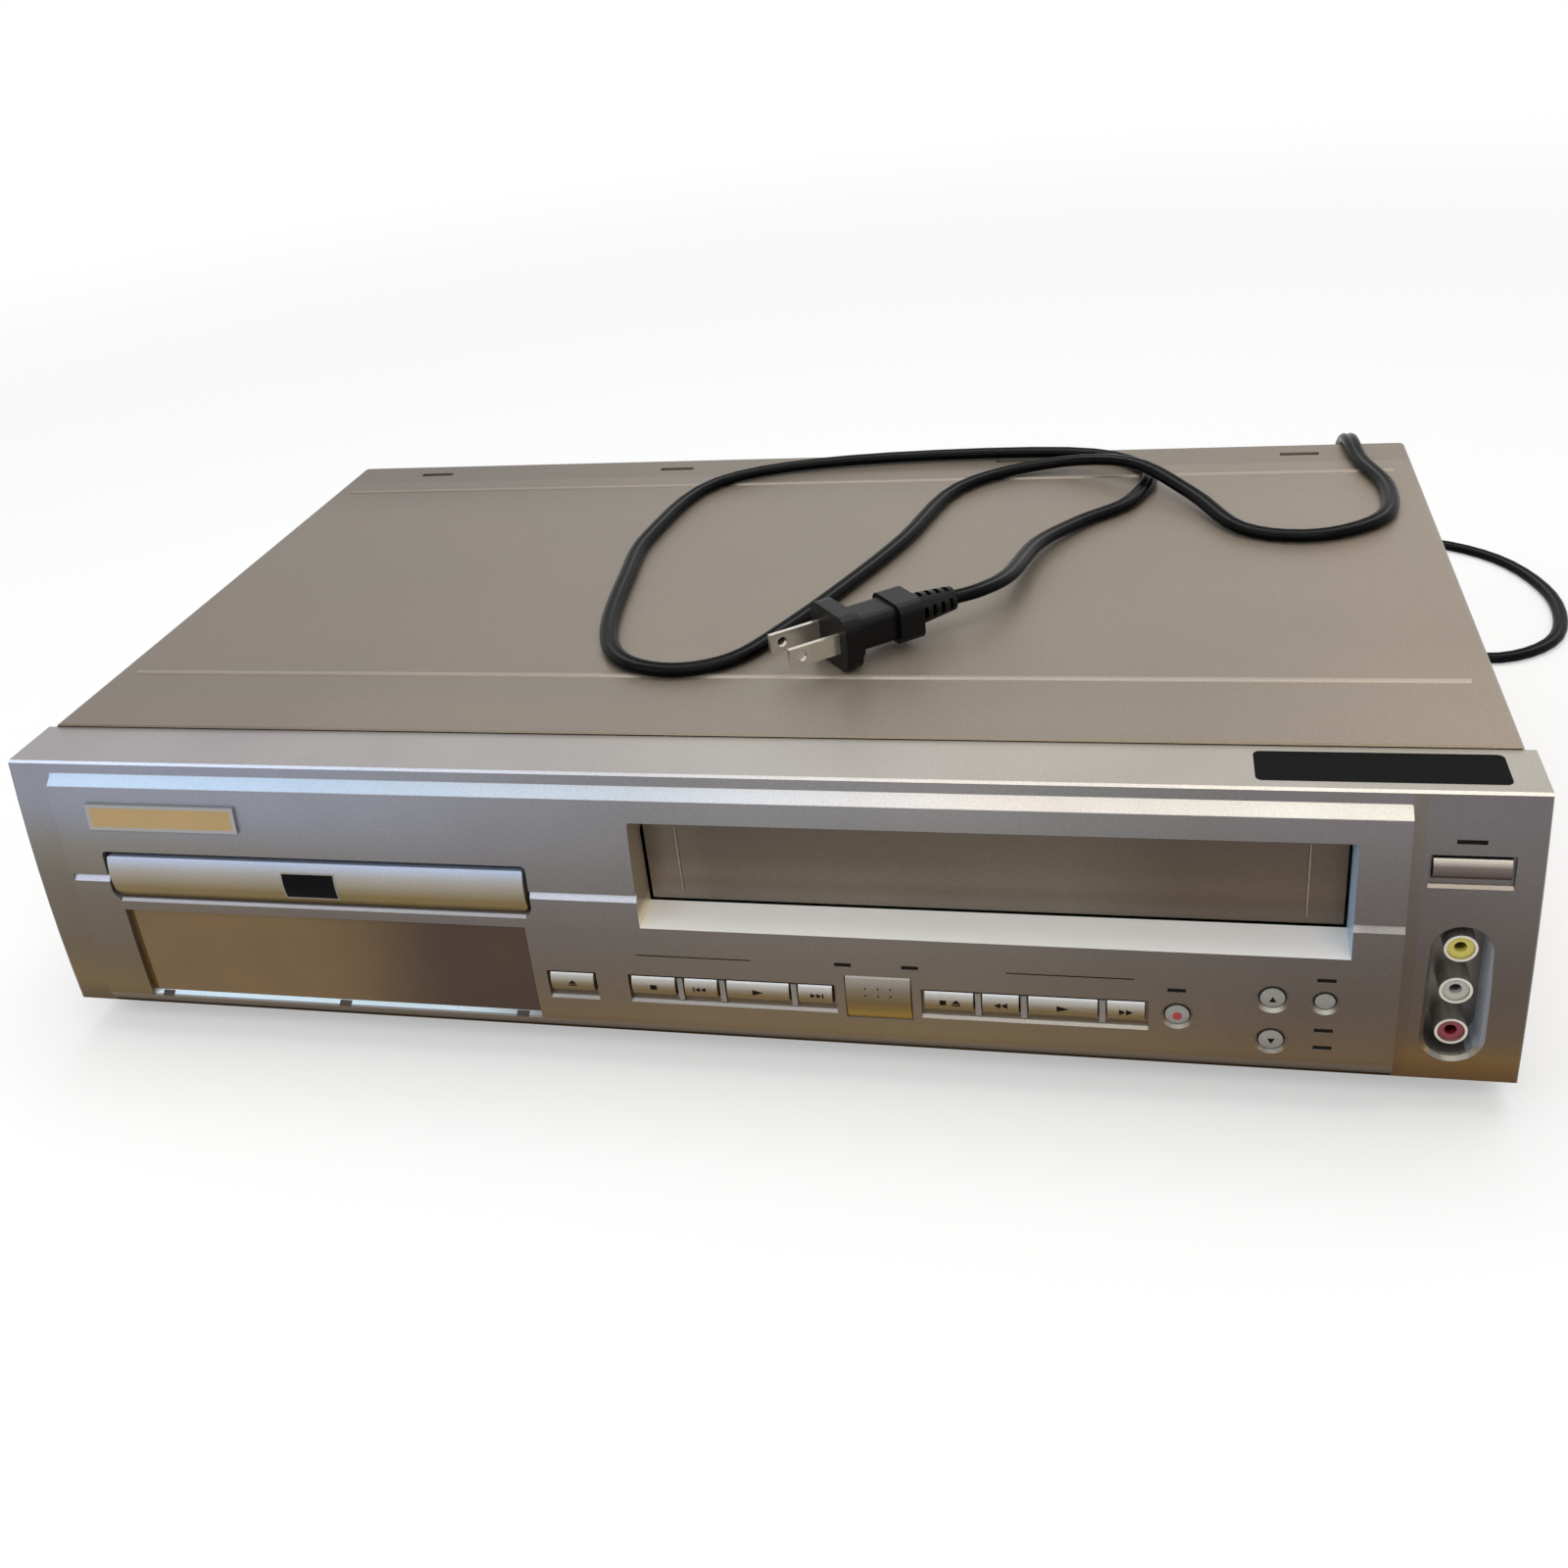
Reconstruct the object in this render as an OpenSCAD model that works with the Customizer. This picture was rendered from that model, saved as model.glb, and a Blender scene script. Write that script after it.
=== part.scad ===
// Disc player and video cassette recorder in one full-width case.
// Millimetres. +X to the right seen from the front, +Y to the back, +Z up.
// The origin is under the middle of the case, on the surface that the feet stand on.

/* [Case] */
// Width of the front bezel
bezel_w = 436; // [430:1:450]
// Width of the sheet metal cover
case_w = 431; // [424:1:431]
// Space from the top edge of the cassette slot to the top of the cover
top_space = 14.3; // [13:0.1:20]
// Depth from the crest of the front face to the rear panel
case_d = 262; // [260:1:290]
// Depth of the bezel, from its crest to the front edge of the cover
bezel_d = 29.4; // [27:0.2:31]
// Sheet metal thickness
sheet_t = 0.8; // [0.6:0.1:1.2]
// Height of the feet
foot_h = 7.5; // [5:0.5:9]
// Diameter of the feet
foot_dia = 30; // [20:1:34]

/* [Front face] */
// Radius of the bowed front face, seen from the side
face_r = 530; // [480:5:600]
// Height of the foremost line of the face
crest_z = 28; // [24:1:34]
// How far the raised centre panel stands out
panel_out = 3; // [2:0.2:4]
// Left edge of the raised centre panel
panel_x0 = -204; // [-208:1:-200]
// Right edge of the raised centre panel
panel_x1 = 186; // [182:1:188]
// Wall thickness of the bezel
bezel_wall = 2.5; // [2:0.1:3]
// Clearance round a button in its opening
key_gap = 0.3; // [0.2:0.05:0.5]
// How far a button travels
key_travel = 0.8; // [0.5:0.1:1]

/* [Disc drawer] */
// Middle of the drawer, sideways
tray_x = -121.6; // [-124:0.2:-119]
// Width of the drawer's front
tray_front_w = 136; // [134:1:138]
// Height of the drawer's front
tray_front_h = 14.2; // [13:0.2:15]
// Height of the middle of the drawer's front
tray_z = 61.4; // [60:0.2:63]
// Width of the tray behind its front
tray_w = 128; // [126:1:130]
// Length of the tray behind its front
tray_len = 160; // [156:1:162]
// Diameter of a disc
disc_dia = 120; // [120]
// How far the drawer opens
tray_travel = 130; // [110:5:135]

/* [Cassette deck] */
// Middle of the cassette slot, sideways
deck_x = 76.7; // [74:0.1:79]
// Width of the cassette slot
slot_w = 193.4; // [192:0.2:196]
// Height of the slot's sill
slot_z0 = 52.6; // [51:0.2:54]
// Height of the slot's opening
slot_h = 32.6; // [31:0.2:34]
// Width of a cassette
cassette_w = 187; // [186:1:188]
// Thickness of a cassette
cassette_h = 25; // [24:0.5:25.4]
// Depth of a cassette
cassette_d = 103; // [102:1:104]
// Diameter of the head drum
drum_dia = 62; // [56:1:64]
// How far the loaded cassette lies behind its waiting place
load_back = 48; // [44:1:48]
// How far the loaded cassette lies below its waiting place
load_down = 22; // [18:1:23]

/* [Front sockets] */
// Middle of the sockets, sideways
jack_x = 200.5; // [199:0.5:202]
// Distance between two sockets
jack_pitch = 13.5; // [13:0.1:14]
// Outer diameter of a socket's shell
jack_dia = 8.3; // [8:0.1:8.6]
// Width of the recess that holds the sockets
jack_recess_w = 14.2; // [13:0.2:15]

/* [Cord] */
// Width of the flat mains cord
cord_w = 6; // [5:0.5:7]
// Thickness of the flat mains cord
cord_t = 3.4; // [3:0.2:4]

/* [Hidden] */
$fn = 64;

// General clearances
fit = 0.3;      // between parts that lie against each other
run = 0.05;     // round a shaft in its bearing, on the radius
eps = 0.1;      // how far a cutting shape runs past what it cuts

// Places along the depth. Depth 0 is the crest of the front face, and depth grows to the back
jack_out = 9;
y_face = -(case_d + jack_out) / 2;
slot_z1 = slot_z0 + slot_h;
case_h = slot_z1 + top_space;
y_rear = y_face + case_d;
rear_d = case_d - sheet_t;
body_y = y_face + panel_out + face_r;
pan_z = foot_h;
floor_z = pan_z + sheet_t;
cover_z = case_h - sheet_t;
bezel_top_z = cover_z - fit;

// Raised panel and its grooves
panel_z1 = bezel_top_z - 3.6;
panel_chamfer = 2.8;
top_edge = 0.7;
ledge = 0.8;
groove_z = 60.8;
groove_h = 2.4;
groove_t = 1.4;
key_proud = 0.4;
key_recess = 1.8;
key_flange = 1.1;

// Disc drawer
tray_front_gap_top = 1.8;
tray_front_gap = 1.2;
tray_open_w = tray_front_w + 2 * tray_front_gap;
tray_open_z0 = tray_z - tray_front_h / 2 - 0.7;
tray_open_z1 = tray_z + tray_front_h / 2 + tray_front_gap_top;
tray_t = 9.2;
tray_z0 = tray_z - 7.2;
tray_z1 = tray_z0 + tray_t;
tray_d0 = 7.2;
tray_d1 = tray_d0 + tray_len;
disc_d = tray_d0 + 71;
disc_recess_t = 2;
inner_recess_t = 1.4;
spindle_slot_w = 36;
tray_rib = 12;
tray_floor_z = tray_z0 + 4;
rack_module = 1;
rack_teeth = floor((tray_travel + 12) / (PI * rack_module));
gear_teeth = 16;
gear_r = rack_module * gear_teeth / 2;
gear_clear = 0.3;
gear_z0 = tray_z0 + 0.5;
gear_h = 3;
rack_x = tray_x - tray_w / 2 + tray_rib + rack_module * 1.25;
gear_x = rack_x + gear_r;
gear_d = 32;

// Loader
loader_w = 150;
loader_wall = 2;
loader_floor_t = 2;
loader_x0 = tray_x - loader_w / 2;
loader_x1 = tray_x + loader_w / 2;
loader_d0 = 20;
loader_d1 = 186;
loader_z0 = 46;
loader_z1 = tray_z1 + 7;
clamp_z = loader_z1;
clamp_r = 14.5;
platter_r = 15;
platter_top = tray_z1 - disc_recess_t + 0.5;
motor_r = 12;
sled_travel = 35;
sled_d0 = disc_d + 20;
sled_len = 30;
rod_x_off = 27;
rod_r = 1.5;
traverse_z = loader_z0 + loader_floor_t + fit;
rod_z = traverse_z + 3;

// Cassette deck
slot_x0 = deck_x - slot_w / 2;
slot_x1 = deck_x + slot_w / 2;
sill_fall = 1.4;
door_d = 13.6;
door_t = 2;
door_gap = 0.8;
door_w = slot_w - 2 * door_gap;
door_z0 = slot_z0 + 0.5;
door_pin_r = 1.5;
door_pin_d = door_d + 1.6;
door_pin_z = slot_z1 + 1.6;
deck_t = 1.5;
deck_d0 = 26;
deck_d1 = 228;
holder_t = 1;
holder_gap = 1.2;
holder_d0 = 50;
holder_d1 = 102;
holder_z0 = slot_z0 - 0.6;
deck_z = holder_z0 - load_down - 6;
deck_top = deck_z + deck_t;
holder_h = cassette_h + 2 * holder_gap + 2 * holder_t;
holder_w = cassette_w + 2 * holder_gap + 2 * holder_t;
holder_ledge = 13;
holder_pin_r = 2;
holder_pin_z = holder_z0 + 14;
holder_pin_d = [holder_d0 + 10, holder_d1 - 14];
bracket_gap = 2;
bracket_t = 1.2;
bracket_x = holder_w / 2 + bracket_gap;
bracket_foot = 7;
deck_edge = 1.3;
deck_w = 2 * (bracket_x + bracket_foot + deck_edge);
load_angle = atan2(load_down, load_back);
load_len = sqrt(pow(load_back, 2) + pow(load_down, 2));
reel_x = 46.1;
reel_d = holder_d1 + load_back - cassette_d + 30;
reel_r = 24;
drum_d = holder_d1 + load_back + 40;
drum_tilt = 5.5;
drum_base_h = 5;
lower_drum_h = 15;
upper_drum_h = 12;
drum_gap = 0.4;
capstan_x = 52;
capstan_d = holder_d1 + load_back + 7;
capstan_r = 1.5;
capstan_flange_r = 5;
heads_d = holder_d1 + load_back + 21;
flywheel_r = 20;
pinch_r = 6.5;
pinch_pivot_x = 84;
pinch_pivot_d = holder_d1 + load_back + 18;
pinch_len = 36;
pinch_rest_angle = -134;
pinch_z = deck_top + 2.5;
guide_x0 = 33;
guide_d0 = holder_d1 + load_back - 14;
guide_x1 = 45;
guide_d1 = guide_d0 + 42;
guide_slot_w = 5;

// Sockets
jack_z = [39.5 + jack_pitch, 39.5, 39.5 - jack_pitch];
jack_floor = 10;
rim_t = 1;
jack_shell_len = 8;
rear_jack_x = [-186, -168, -150, -132];
rear_jack_z = [34, 52, 70];
rf_x = [-66, -44];
rf_z = 40;

// Cord: its outlet, its route and the plug. The route lists x, y and z of the middle line
relief_x = 150;
relief_z = 32;
relief_len = 24.4;
route = [
    [150, 151.5, 32], [150, 170, 27], [161, 189, 13], [181, 191.5, 4], [205, 175, 2],
    [230, 148.5, 2], [261, 139.5, 2], [286, 159, 2], [292, 200, 2], [277, 241, 2], [245, 262, 2],
    [210, 246, 2], [196, 208, 5], [195, 182, 20], [195, 162, 54], [195, 149, 84], [195, 130, 101],
    [197, 103, 101.7], [203, 74, 101.7], [198, 46, 101.7], [176, 31, 101.7], [152, 38, 101.7],
    [136, 66, 104], [114, 93, 106.5], [82, 104, 102.5], [51, 82, 101.7], [37, 32, 101.7],
    [23, -7, 101.7], [8.9, -40.5, 101.7], [-3.6, -63, 101.7], [-21.3, -70.5, 101.7], [-39.5, -63.2, 101.7],
    [-50.6, -40.7, 101.7], [-57, 2, 101.7], [-59, 40, 101.7], [-46, 94, 101.7], [4, 116, 101.7],
    [90, 119, 101.7], [120, 98, 101.7], [115, 66, 101.7], [98, 46, 102], [84.5, 22, 103.8],
    [77.5, -11.5, 106.9], [69.8, -26.8, 108.5], [61.7, -33.4, 108.8]
];
plug_at = [61.3, -33.8, 108.8];
plug_turn = 219;
plug_relief_len = 15;
plug_body_len = 29;
blade_len = 17;

// Colours
grey_metal = [0.55, 0.53, 0.50];
silver = [0.70, 0.70, 0.70];
steel = [0.62, 0.63, 0.64];
dark = [0.10, 0.10, 0.11];
board_green = [0.12, 0.30, 0.16];

// ---------------------------------------------------------------- shared shapes

// A box between two sides, two depths and two heights
module block(x, d, z) {
    translate([x[0], y_face + d[0], z[0]])
        cube([x[1] - x[0], d[1] - d[0], z[1] - z[0]]);
}

// A shape drawn across the face, in x and z, that runs from one depth to another
module across(d0, d1) {
    translate([0, y_face + d1, 0])
        rotate([90, 0, 0])
            linear_extrude(d1 - d0)
                children();
}

// A shape drawn from the side, in y and z, that runs between two sides
module along_x(x0, x1) {
    translate([x0, 0, 0])
        rotate([90, 0, 90])
            linear_extrude(x1 - x0)
                children();
}

// A standing cylinder at a side and depth
module post(x, d, z0, z1, r) {
    translate([x, y_face + d, z0])
        cylinder(h = z1 - z0, r = r);
}

// A cylinder that lies along the depth
module rod_y(x, z, d0, d1, r) {
    translate([x, y_face + d1, z])
        rotate([90, 0, 0])
            cylinder(h = d1 - d0, r = r);
}

// A cylinder that lies sideways
module rod_x(d, z, x0, x1, r) {
    translate([x0, y_face + d, z])
        rotate([0, 90, 0])
            cylinder(h = x1 - x0, r = r);
}

// Corner points of a rectangle with round corners: lower corners r0, upper corners r1
function arc_points(x, y, r, a0) =
    [for (k = [0:5]) [x + r * cos(a0 + 18 * k), y + r * sin(a0 + 18 * k)]];
function round_rect(x0, x1, y0, y1, r0, r1) = concat(
    arc_points(x1 - r1, y1 - r1, r1, 0), arc_points(x0 + r1, y1 - r1, r1, 90),
    arc_points(x0 + r0, y0 + r0, r0, 180), arc_points(x1 - r0, y0 + r0, r0, 270));

module rounded(x, y, r0, r1) {
    polygon(round_rect(x[0], x[1], y[0], y[1], r0, r1));
}

// The space behind the bowed face: all that lies deeper than the face plus an amount
module behind_face(out, z0, z1, depth) {
    intersection() {
        translate([body_y, crest_z])
            circle(r = face_r + out, $fn = 360);
        translate([y_face - 10, z0])
            square([depth + 10, z1 - z0]);
    }
}

// A sheet that follows the bowed face, between two amounts of standing out
module face_sheet(out_front, out_back, z0, z1) {
    difference() {
        behind_face(out_front, z0, z1, 40);
        translate([body_y, crest_z])
            circle(r = face_r + out_back, $fn = 360);
    }
}

// How far behind the crest the face lies at a height
function face_depth(z, out) =
    panel_out + face_r - sqrt(pow(face_r + out, 2) - pow(z - crest_z, 2));

// A gear wheel and a rack with straight-sided teeth
function tooth_ring(n, m, clear) = [
    for (i = [0:n - 1]) for (p = [[-0.36, -1.25], [-0.2, 0.95], [0.2, 0.95], [0.36, -1.25]])
        let (rr = m * n / 2 + p[1] * m, half = (p[0] * PI * m - sign(p[0]) * clear) / (m * n / 2),
             a = 360 / n * i + half * 180 / PI)
            [rr * cos(a), rr * sin(a)]
];

module gear(n, m, h, bore) {
    difference() {
        linear_extrude(h)
            polygon(tooth_ring(n, m, gear_clear));
        translate([0, 0, -eps])
            cylinder(h = h + 2 * eps, r = bore);
    }
}

module cross_screw(r, h) {
    difference() {
        union() {
            cylinder(h = h, r = r);
            translate([0, 0, -3])
                cylinder(h = 3.1, r = r * 0.45);
        }
        for (a = [0, 90])
            rotate([0, 0, a])
                translate([-r * 0.6, -r * 0.12, h - 0.8])
                    cube([r * 1.2, r * 0.24, 2]);
    }
}

// ---------------------------------------------------------------- case

foot_x = 165;
foot_d = [46, 226];
bead_d = [65.2, 232.6];
bead_half = 208;
bead_r = 3;
bead_h = 0.4;
cover_tab_x = [-176.6, -69.3, 69.3, 176.6];
cover_tab_w = 14;
cover_tab_l = 3;
screw_r = 3.2;
screw_h = 1.8;
screw_side_d = [80, 205];
screw_side_z = 24;
screw_rear_x = [-150, 0, 150];
screw_rear_z = case_h - 9.5;
vent_w = 3;
vent_l = 28;
vent_step = 8;

module bottom_pan() {
    half = case_w / 2 - sheet_t - fit;
    color(steel) difference() {
        union() {
            block([-half, half], [bezel_d + fit, rear_d - fit], [pan_z, floor_z]);
            for (s = [-1, 1])
                block([s * half - (s > 0 ? sheet_t : 0), s * half + (s > 0 ? 0 : sheet_t)],
                    [bezel_d + fit, rear_d - fit], [pan_z, pan_z + 22]);
            block([-half, half], [bezel_d + fit, bezel_d + fit + sheet_t], [pan_z, pan_z + 5]);
            for (x = [-105, 10, 70])
                block([x - 6, x + 6], [rear_d - fit - sheet_t, rear_d - fit], [pan_z, pan_z + 16]);
        }
        for (x = [-120:vent_step:-40])
            block([x, x + vent_w], [150, 150 + vent_l], [pan_z - 1, floor_z + 1]);
        for (x = [40:vent_step:160])
            block([x, x + vent_w], [192, 192 + vent_l], [pan_z - 1, floor_z + 1]);
        for (s = [-1, 1], d = foot_d)
            post(s * foot_x, d, pan_z - 1, floor_z + 1, 2);
        for (s = [-1, 1], d = screw_side_d)
            rod_x(d, screw_side_z, s * half - 2, s * half + 2, screw_r * 0.45 + run);
    }
}

module top_cover() {
    half = case_w / 2;
    corner = 2;
    color(grey_metal) difference() {
        union() {
            intersection() {
                across(bezel_d, case_d)
                    rounded([-half, half], [pan_z + 0.5, case_h], 0.01, corner);
                block([-half - 1, half + 1], [bezel_d, case_d], [pan_z, case_h + 1]);
            }
            for (d = bead_d)
                intersection() {
                    rod_x(d, case_h + bead_h - bead_r, -bead_half, bead_half, bead_r);
                    block([-half, half], [bezel_d, case_d], [cover_z + 0.1, case_h + bead_h + 1]);
                }
        }
        block([-half + sheet_t, half - sheet_t], [bezel_d - 1, case_d + 1], [pan_z - 1, cover_z]);
        for (x = cover_tab_x)
            block([x - cover_tab_w / 2, x + cover_tab_w / 2],
                [case_d - 11, case_d - 11 + cover_tab_l], [cover_z - 1, case_h + 1]);
        for (k = [0:8])
            block([-half - 1, half + 1], [120 + vent_step * k, 120 + vent_step * k + vent_w],
                [62, 62 + vent_l - 8]);
        for (s = [-1, 1], d = screw_side_d)
            rod_x(d, screw_side_z, s * half - 2, s * half + 2, screw_r * 0.45 + run);
    }
}

module case_screws() {
    color(steel) {
        for (s = [-1, 1], d = screw_side_d)
            translate([s * case_w / 2, y_face + d, screw_side_z])
                rotate([0, s * 90, 0])
                    cross_screw(screw_r, screw_h);
        for (x = screw_rear_x)
            translate([x, y_rear, screw_rear_z])
                rotate([-90, 0, 0])
                    cross_screw(screw_r, screw_h);
    }
}

module feet() {
    color(dark)
        for (s = [-1, 1], d = foot_d)
            translate([s * foot_x, y_face + d, 0]) {
                rotate_extrude()
                    polygon([[3, 1], [4.5, 0], [foot_dia / 2 - 1.5, 0], [foot_dia / 2, foot_h],
                        [0, foot_h], [0, 2.5], [3, 2.5]]);
                translate([0, 0, foot_h - eps])
                    cylinder(h = 3, r = 1.8);
            }
}

module rear_panel() {
    half = case_w / 2 - sheet_t - fit;
    color(steel) difference() {
        union() {
            block([-half, half], [rear_d, case_d], [floor_z - sheet_t, cover_z - fit]);
            for (x = cover_tab_x)
                block([x - cover_tab_w / 2 + 1, x + cover_tab_w / 2 - 1],
                    [case_d - 10, case_d - eps], [cover_z - fit - sheet_t, cover_z - fit]);
        }
        for (x = rear_jack_x, z = rear_jack_z)
            rod_y(x, z, rear_d - 1, case_d + 1, jack_dia / 2 + 0.6);
        for (x = rf_x)
            rod_y(x, rf_z, rear_d - 1, case_d + 1, 5.4);
        rod_y(relief_x, relief_z, rear_d - 1, case_d + 1, 5 + run);
        for (k = [0:9])
            block([20 + vent_step * k, 20 + vent_step * k + vent_w], [rear_d - 1, case_d + 1],
                [40, 40 + vent_l]);
        for (x = screw_rear_x)
            rod_y(x, screw_rear_z, rear_d - 1, case_d + 1, screw_r * 0.45 + run);
    }
}

// ---------------------------------------------------------------- front bezel and keys

// Each key: left, right, bottom and top edge, and how far its face stands out
row_z = [27.5, 34];
open_key = [-50.2, -36.9, row_z[0], row_z[1]];
stop_key = [-25, -11.9, row_z[0], row_z[1]];
back_key = [-8.9, 0.8, row_z[0], row_z[1]];
play_key = [3.8, 22.1, row_z[0], row_z[1]];
forward_key = [24.9, 34.7, row_z[0], row_z[1]];
output_key = [38.8, 57.3, 23.6, 38];
vstop_key = [61.2, 74.8, row_z[0], row_z[1]];
rewind_key = [77.4, 87.4, row_z[0], row_z[1]];
vplay_key = [90.1, 108.8, row_z[0], row_z[1]];
ffwd_key = [111.4, 121.4, row_z[0], row_z[1]];
power_key = [191.7, 210.2, 74.2, 80.1];
bar_keys = [open_key, stop_key, back_key, play_key, forward_key, vstop_key, rewind_key,
    vplay_key, ffwd_key];
// Round keys: x, z and radius
record_key = [130, 30.3, 3.2];
up_key = [154.5, 37.5, 3.2];
down_key = [154.6, 23.5, 3.2];
timer_key = [167.8, 37.1, 2.6];
round_keys = [record_key, up_key, down_key, timer_key];
ring_w = 1.5;
// Recessed strips round the rows of keys: left, right
strips = [[-51.2, -35.9], [-26, 35.9], [60.2, 122.4]];
strip_z = [25.6, 34.8];
power_strip = [190.7, 211.2, 72.4, 81.1];
// Indicator slits: middle x and z
lamps = [[38.5, 41.8], [57.5, 41.8], [129.7, 38.7], [167.8, 44.2], [167.8, 27.8], [167.8, 22]];
power_lamp = [200.4, 84.8];
lamp_w = 4.8;
power_lamp_w = 7.2;
lamp_h = 1.4;
window_x = [-188.3, -55.5];
window_z = [17.8, 49.7];
window_deep = 1.8;
window_t = 2;
window_sill = 1.4;
badge_x = [-191.8, -141.8];
badge_z = [78.4, 86.8];

// A flat bar through an indicator slit, smaller than the slit by a gap all round
module lamp(p, w, gap, d0, d1) {
    block([p[0] - w / 2 + gap, p[0] + w / 2 - gap], [d0, d1],
        [p[1] - lamp_h / 2 + gap, p[1] + lamp_h / 2 - gap]);
}

module key_opening(k, gap) {
    across(-5, 40)
        translate([k[0] - gap, k[2] - gap])
            square([k[1] - k[0] + 2 * gap, k[3] - k[2] + 2 * gap]);
}

module front_bezel() {
    half = bezel_w / 2;
    chin = 13;
    color(silver) {
        difference() {
            union() {
                // Outer shell, then the raised panel
                along_x(-half, half)
                    behind_face(0, pan_z, bezel_top_z, bezel_d);
                intersection() {
                    along_x(panel_x0, panel_x1)
                        difference() {
                            behind_face(panel_out, pan_z, panel_z1, bezel_d);
                            panel_slope();
                        }
                    across(-5, 40)
                        rounded([panel_x0, panel_x1], [pan_z, panel_z1], 3, 0.5);
                }
            }
            edge_slope(-half - 1, half + 1, bezel_top_z, 0, top_edge);
            // Rounded chin
            difference() {
                block([-half - 1, half + 1], [-1, chin], [pan_z - 1, pan_z + chin]);
                rod_x(chin, pan_z + chin, -half - 2, half + 2, chin + 0.4);
            }
            // Rounded outer side edges at the bottom corners
            for (s = [-1, 1])
                difference() {
                    block([s * half - 6, s * half + 6], [-1, bezel_d + 1], [pan_z - 1, pan_z + 5]);
                    rod_y(s * (half - 5), pan_z + 5, -2, bezel_d + 2, 5.3);
                    block([s * (half - 5) - 5, s * (half - 5) + 5], [-2, bezel_d + 2],
                        [pan_z + 4.4, pan_z + 6]);
                }
            // Hollow inside, open to the back
            along_x(-half + bezel_wall, half - bezel_wall)
                intersection() {
                    behind_face(-bezel_wall, pan_z + bezel_wall, bezel_top_z - bezel_wall, bezel_d + 1);
                    translate([y_face, pan_z])
                        polygon([[0, case_h], [60, case_h], [60, 0], [chin, 0], [0, chin]]);
                }
            // Disc drawer opening
            across(-5, 40)
                rounded([tray_x - tray_open_w / 2, tray_x + tray_open_w / 2],
                    [tray_open_z0, tray_open_z1], 3, 1.5);
            edge_slope(tray_x - tray_open_w / 2 + 2, tray_x + tray_open_w / 2 - 2, tray_open_z0,
                panel_out, 0.8);
            // Cassette slot
            across(-5, 40)
                rounded([slot_x0, slot_x1], [slot_z0, slot_z1], 1, 1);
            slot_sill();
            // Window seat with its sloped ledge, and the opening behind it
            along_x(window_x[0], window_x[1]) {
                face_sheet(panel_out + 5, panel_out - window_deep - window_t, window_z[0],
                    window_z[1]);
                translate([y_face, window_z[0]])
                    polygon([[-5, 0.1], [face_depth(window_z[0], panel_out - window_deep), 0.1],
                        [face_depth(window_z[0], panel_out - window_deep), 0],
                        [face_depth(window_z[0] - window_sill, panel_out), -window_sill],
                        [-5, -window_sill]]);
            }
            across(-5, 40)
                rounded([window_x[0] + 4, window_x[1] - 4], [window_z[0] + 3, window_z[1] - 3], 1, 1);
            // Recessed strips under the keys
            for (s = strips)
                union() {
                    along_x(s[0], s[1])
                        face_sheet(panel_out + 5, panel_out - key_recess, strip_z[0], strip_z[1]);
                    edge_slope(s[0], s[1], strip_z[0], panel_out, ledge);
                }
            along_x(power_strip[0], power_strip[1])
                face_sheet(panel_out + 5, -1.2, power_strip[2], power_strip[3]);
            edge_slope(power_strip[0], power_strip[1], power_strip[2], 0, ledge);
            for (k = bar_keys)
                key_opening(k, key_gap);
            key_opening(output_key, key_gap);
            key_opening(power_key, key_gap);
            for (k = round_keys) {
                rod_y(k[0], k[1], -5, 40, k[2] + key_gap);
                translate([k[0], y_face + face_depth(k[1], panel_out) - 0.6, k[1]])
                    rotate([-90, 0, 0])
                        cylinder(h = 2, r1 = k[2] + ring_w + 0.5, r2 = k[2] - 0.5);
            }
            // Indicator slits
            for (p = lamps)
                lamp(p, lamp_w, 0, -5, 40);
            lamp(power_lamp, power_lamp_w, 0, -5, 40);
            // Groove across the panel, square above and sloped below
            for (g = [[panel_x0 + 0.8, slot_x0 + 1], [slot_x1 - 1, panel_x1 + 1]])
                along_x(g[0], g[1])
                    translate([y_face + face_depth(groove_z, panel_out), groove_z])
                        polygon([[-3, groove_h / 2], [groove_t, groove_h / 2],
                            [0, -groove_h / 2], [-3, -groove_h / 2]]);
            // Opening for the sockets
            across(-5, 40)
                rounded([jack_x - jack_recess_w / 2, jack_x + jack_recess_w / 2],
                    [jack_z[2] - jack_recess_w / 2 - 0.4, jack_z[0] + jack_recess_w / 2 + 0.4],
                    jack_recess_w / 2 - 0.05, jack_recess_w / 2 - 0.05);
            socket_rim();
        }
        socket_cup();
        slot_tunnel();
        door_ears();
        pillars();
    }
}

// What the sloped band cuts from the panel's top edge, seen from the side
module panel_slope() {
    low_z = panel_z1 - panel_chamfer;
    translate([y_face, 0])
        polygon([[-5, low_z], [face_depth(low_z, panel_out), low_z],
            [face_depth(panel_z1, 0), panel_z1], [face_depth(panel_z1, 0), case_h], [-5, case_h]]);
}

// A 45 degree cut along an edge of the face, to show its light
module edge_slope(x0, x1, z, out, size) {
    along_x(x0, x1)
        translate([y_face + face_depth(z, out), z])
            rotate(45)
                square(size * sqrt(2), center = true);
}

// Flared rim of the recess for the sockets
module socket_rim() {
    w = jack_recess_w / 2;
    d = face_depth(jack_z[1], 0) + rim_t;
    for (z = [jack_z[0] + 0.4, jack_z[2] - 0.4])
        translate([jack_x, y_face + d, z])
            rotate([90, 0, 0])
                cylinder(h = 4, r1 = w, r2 = w + 4);
    translate([0, 0, jack_z[2] - 0.4])
        linear_extrude(jack_z[0] - jack_z[2] + 0.8)
            translate([jack_x, y_face + d])
                polygon([[-w, 0], [w, 0], [w + 4, -4], [-w - 4, -4]]);
}

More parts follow.
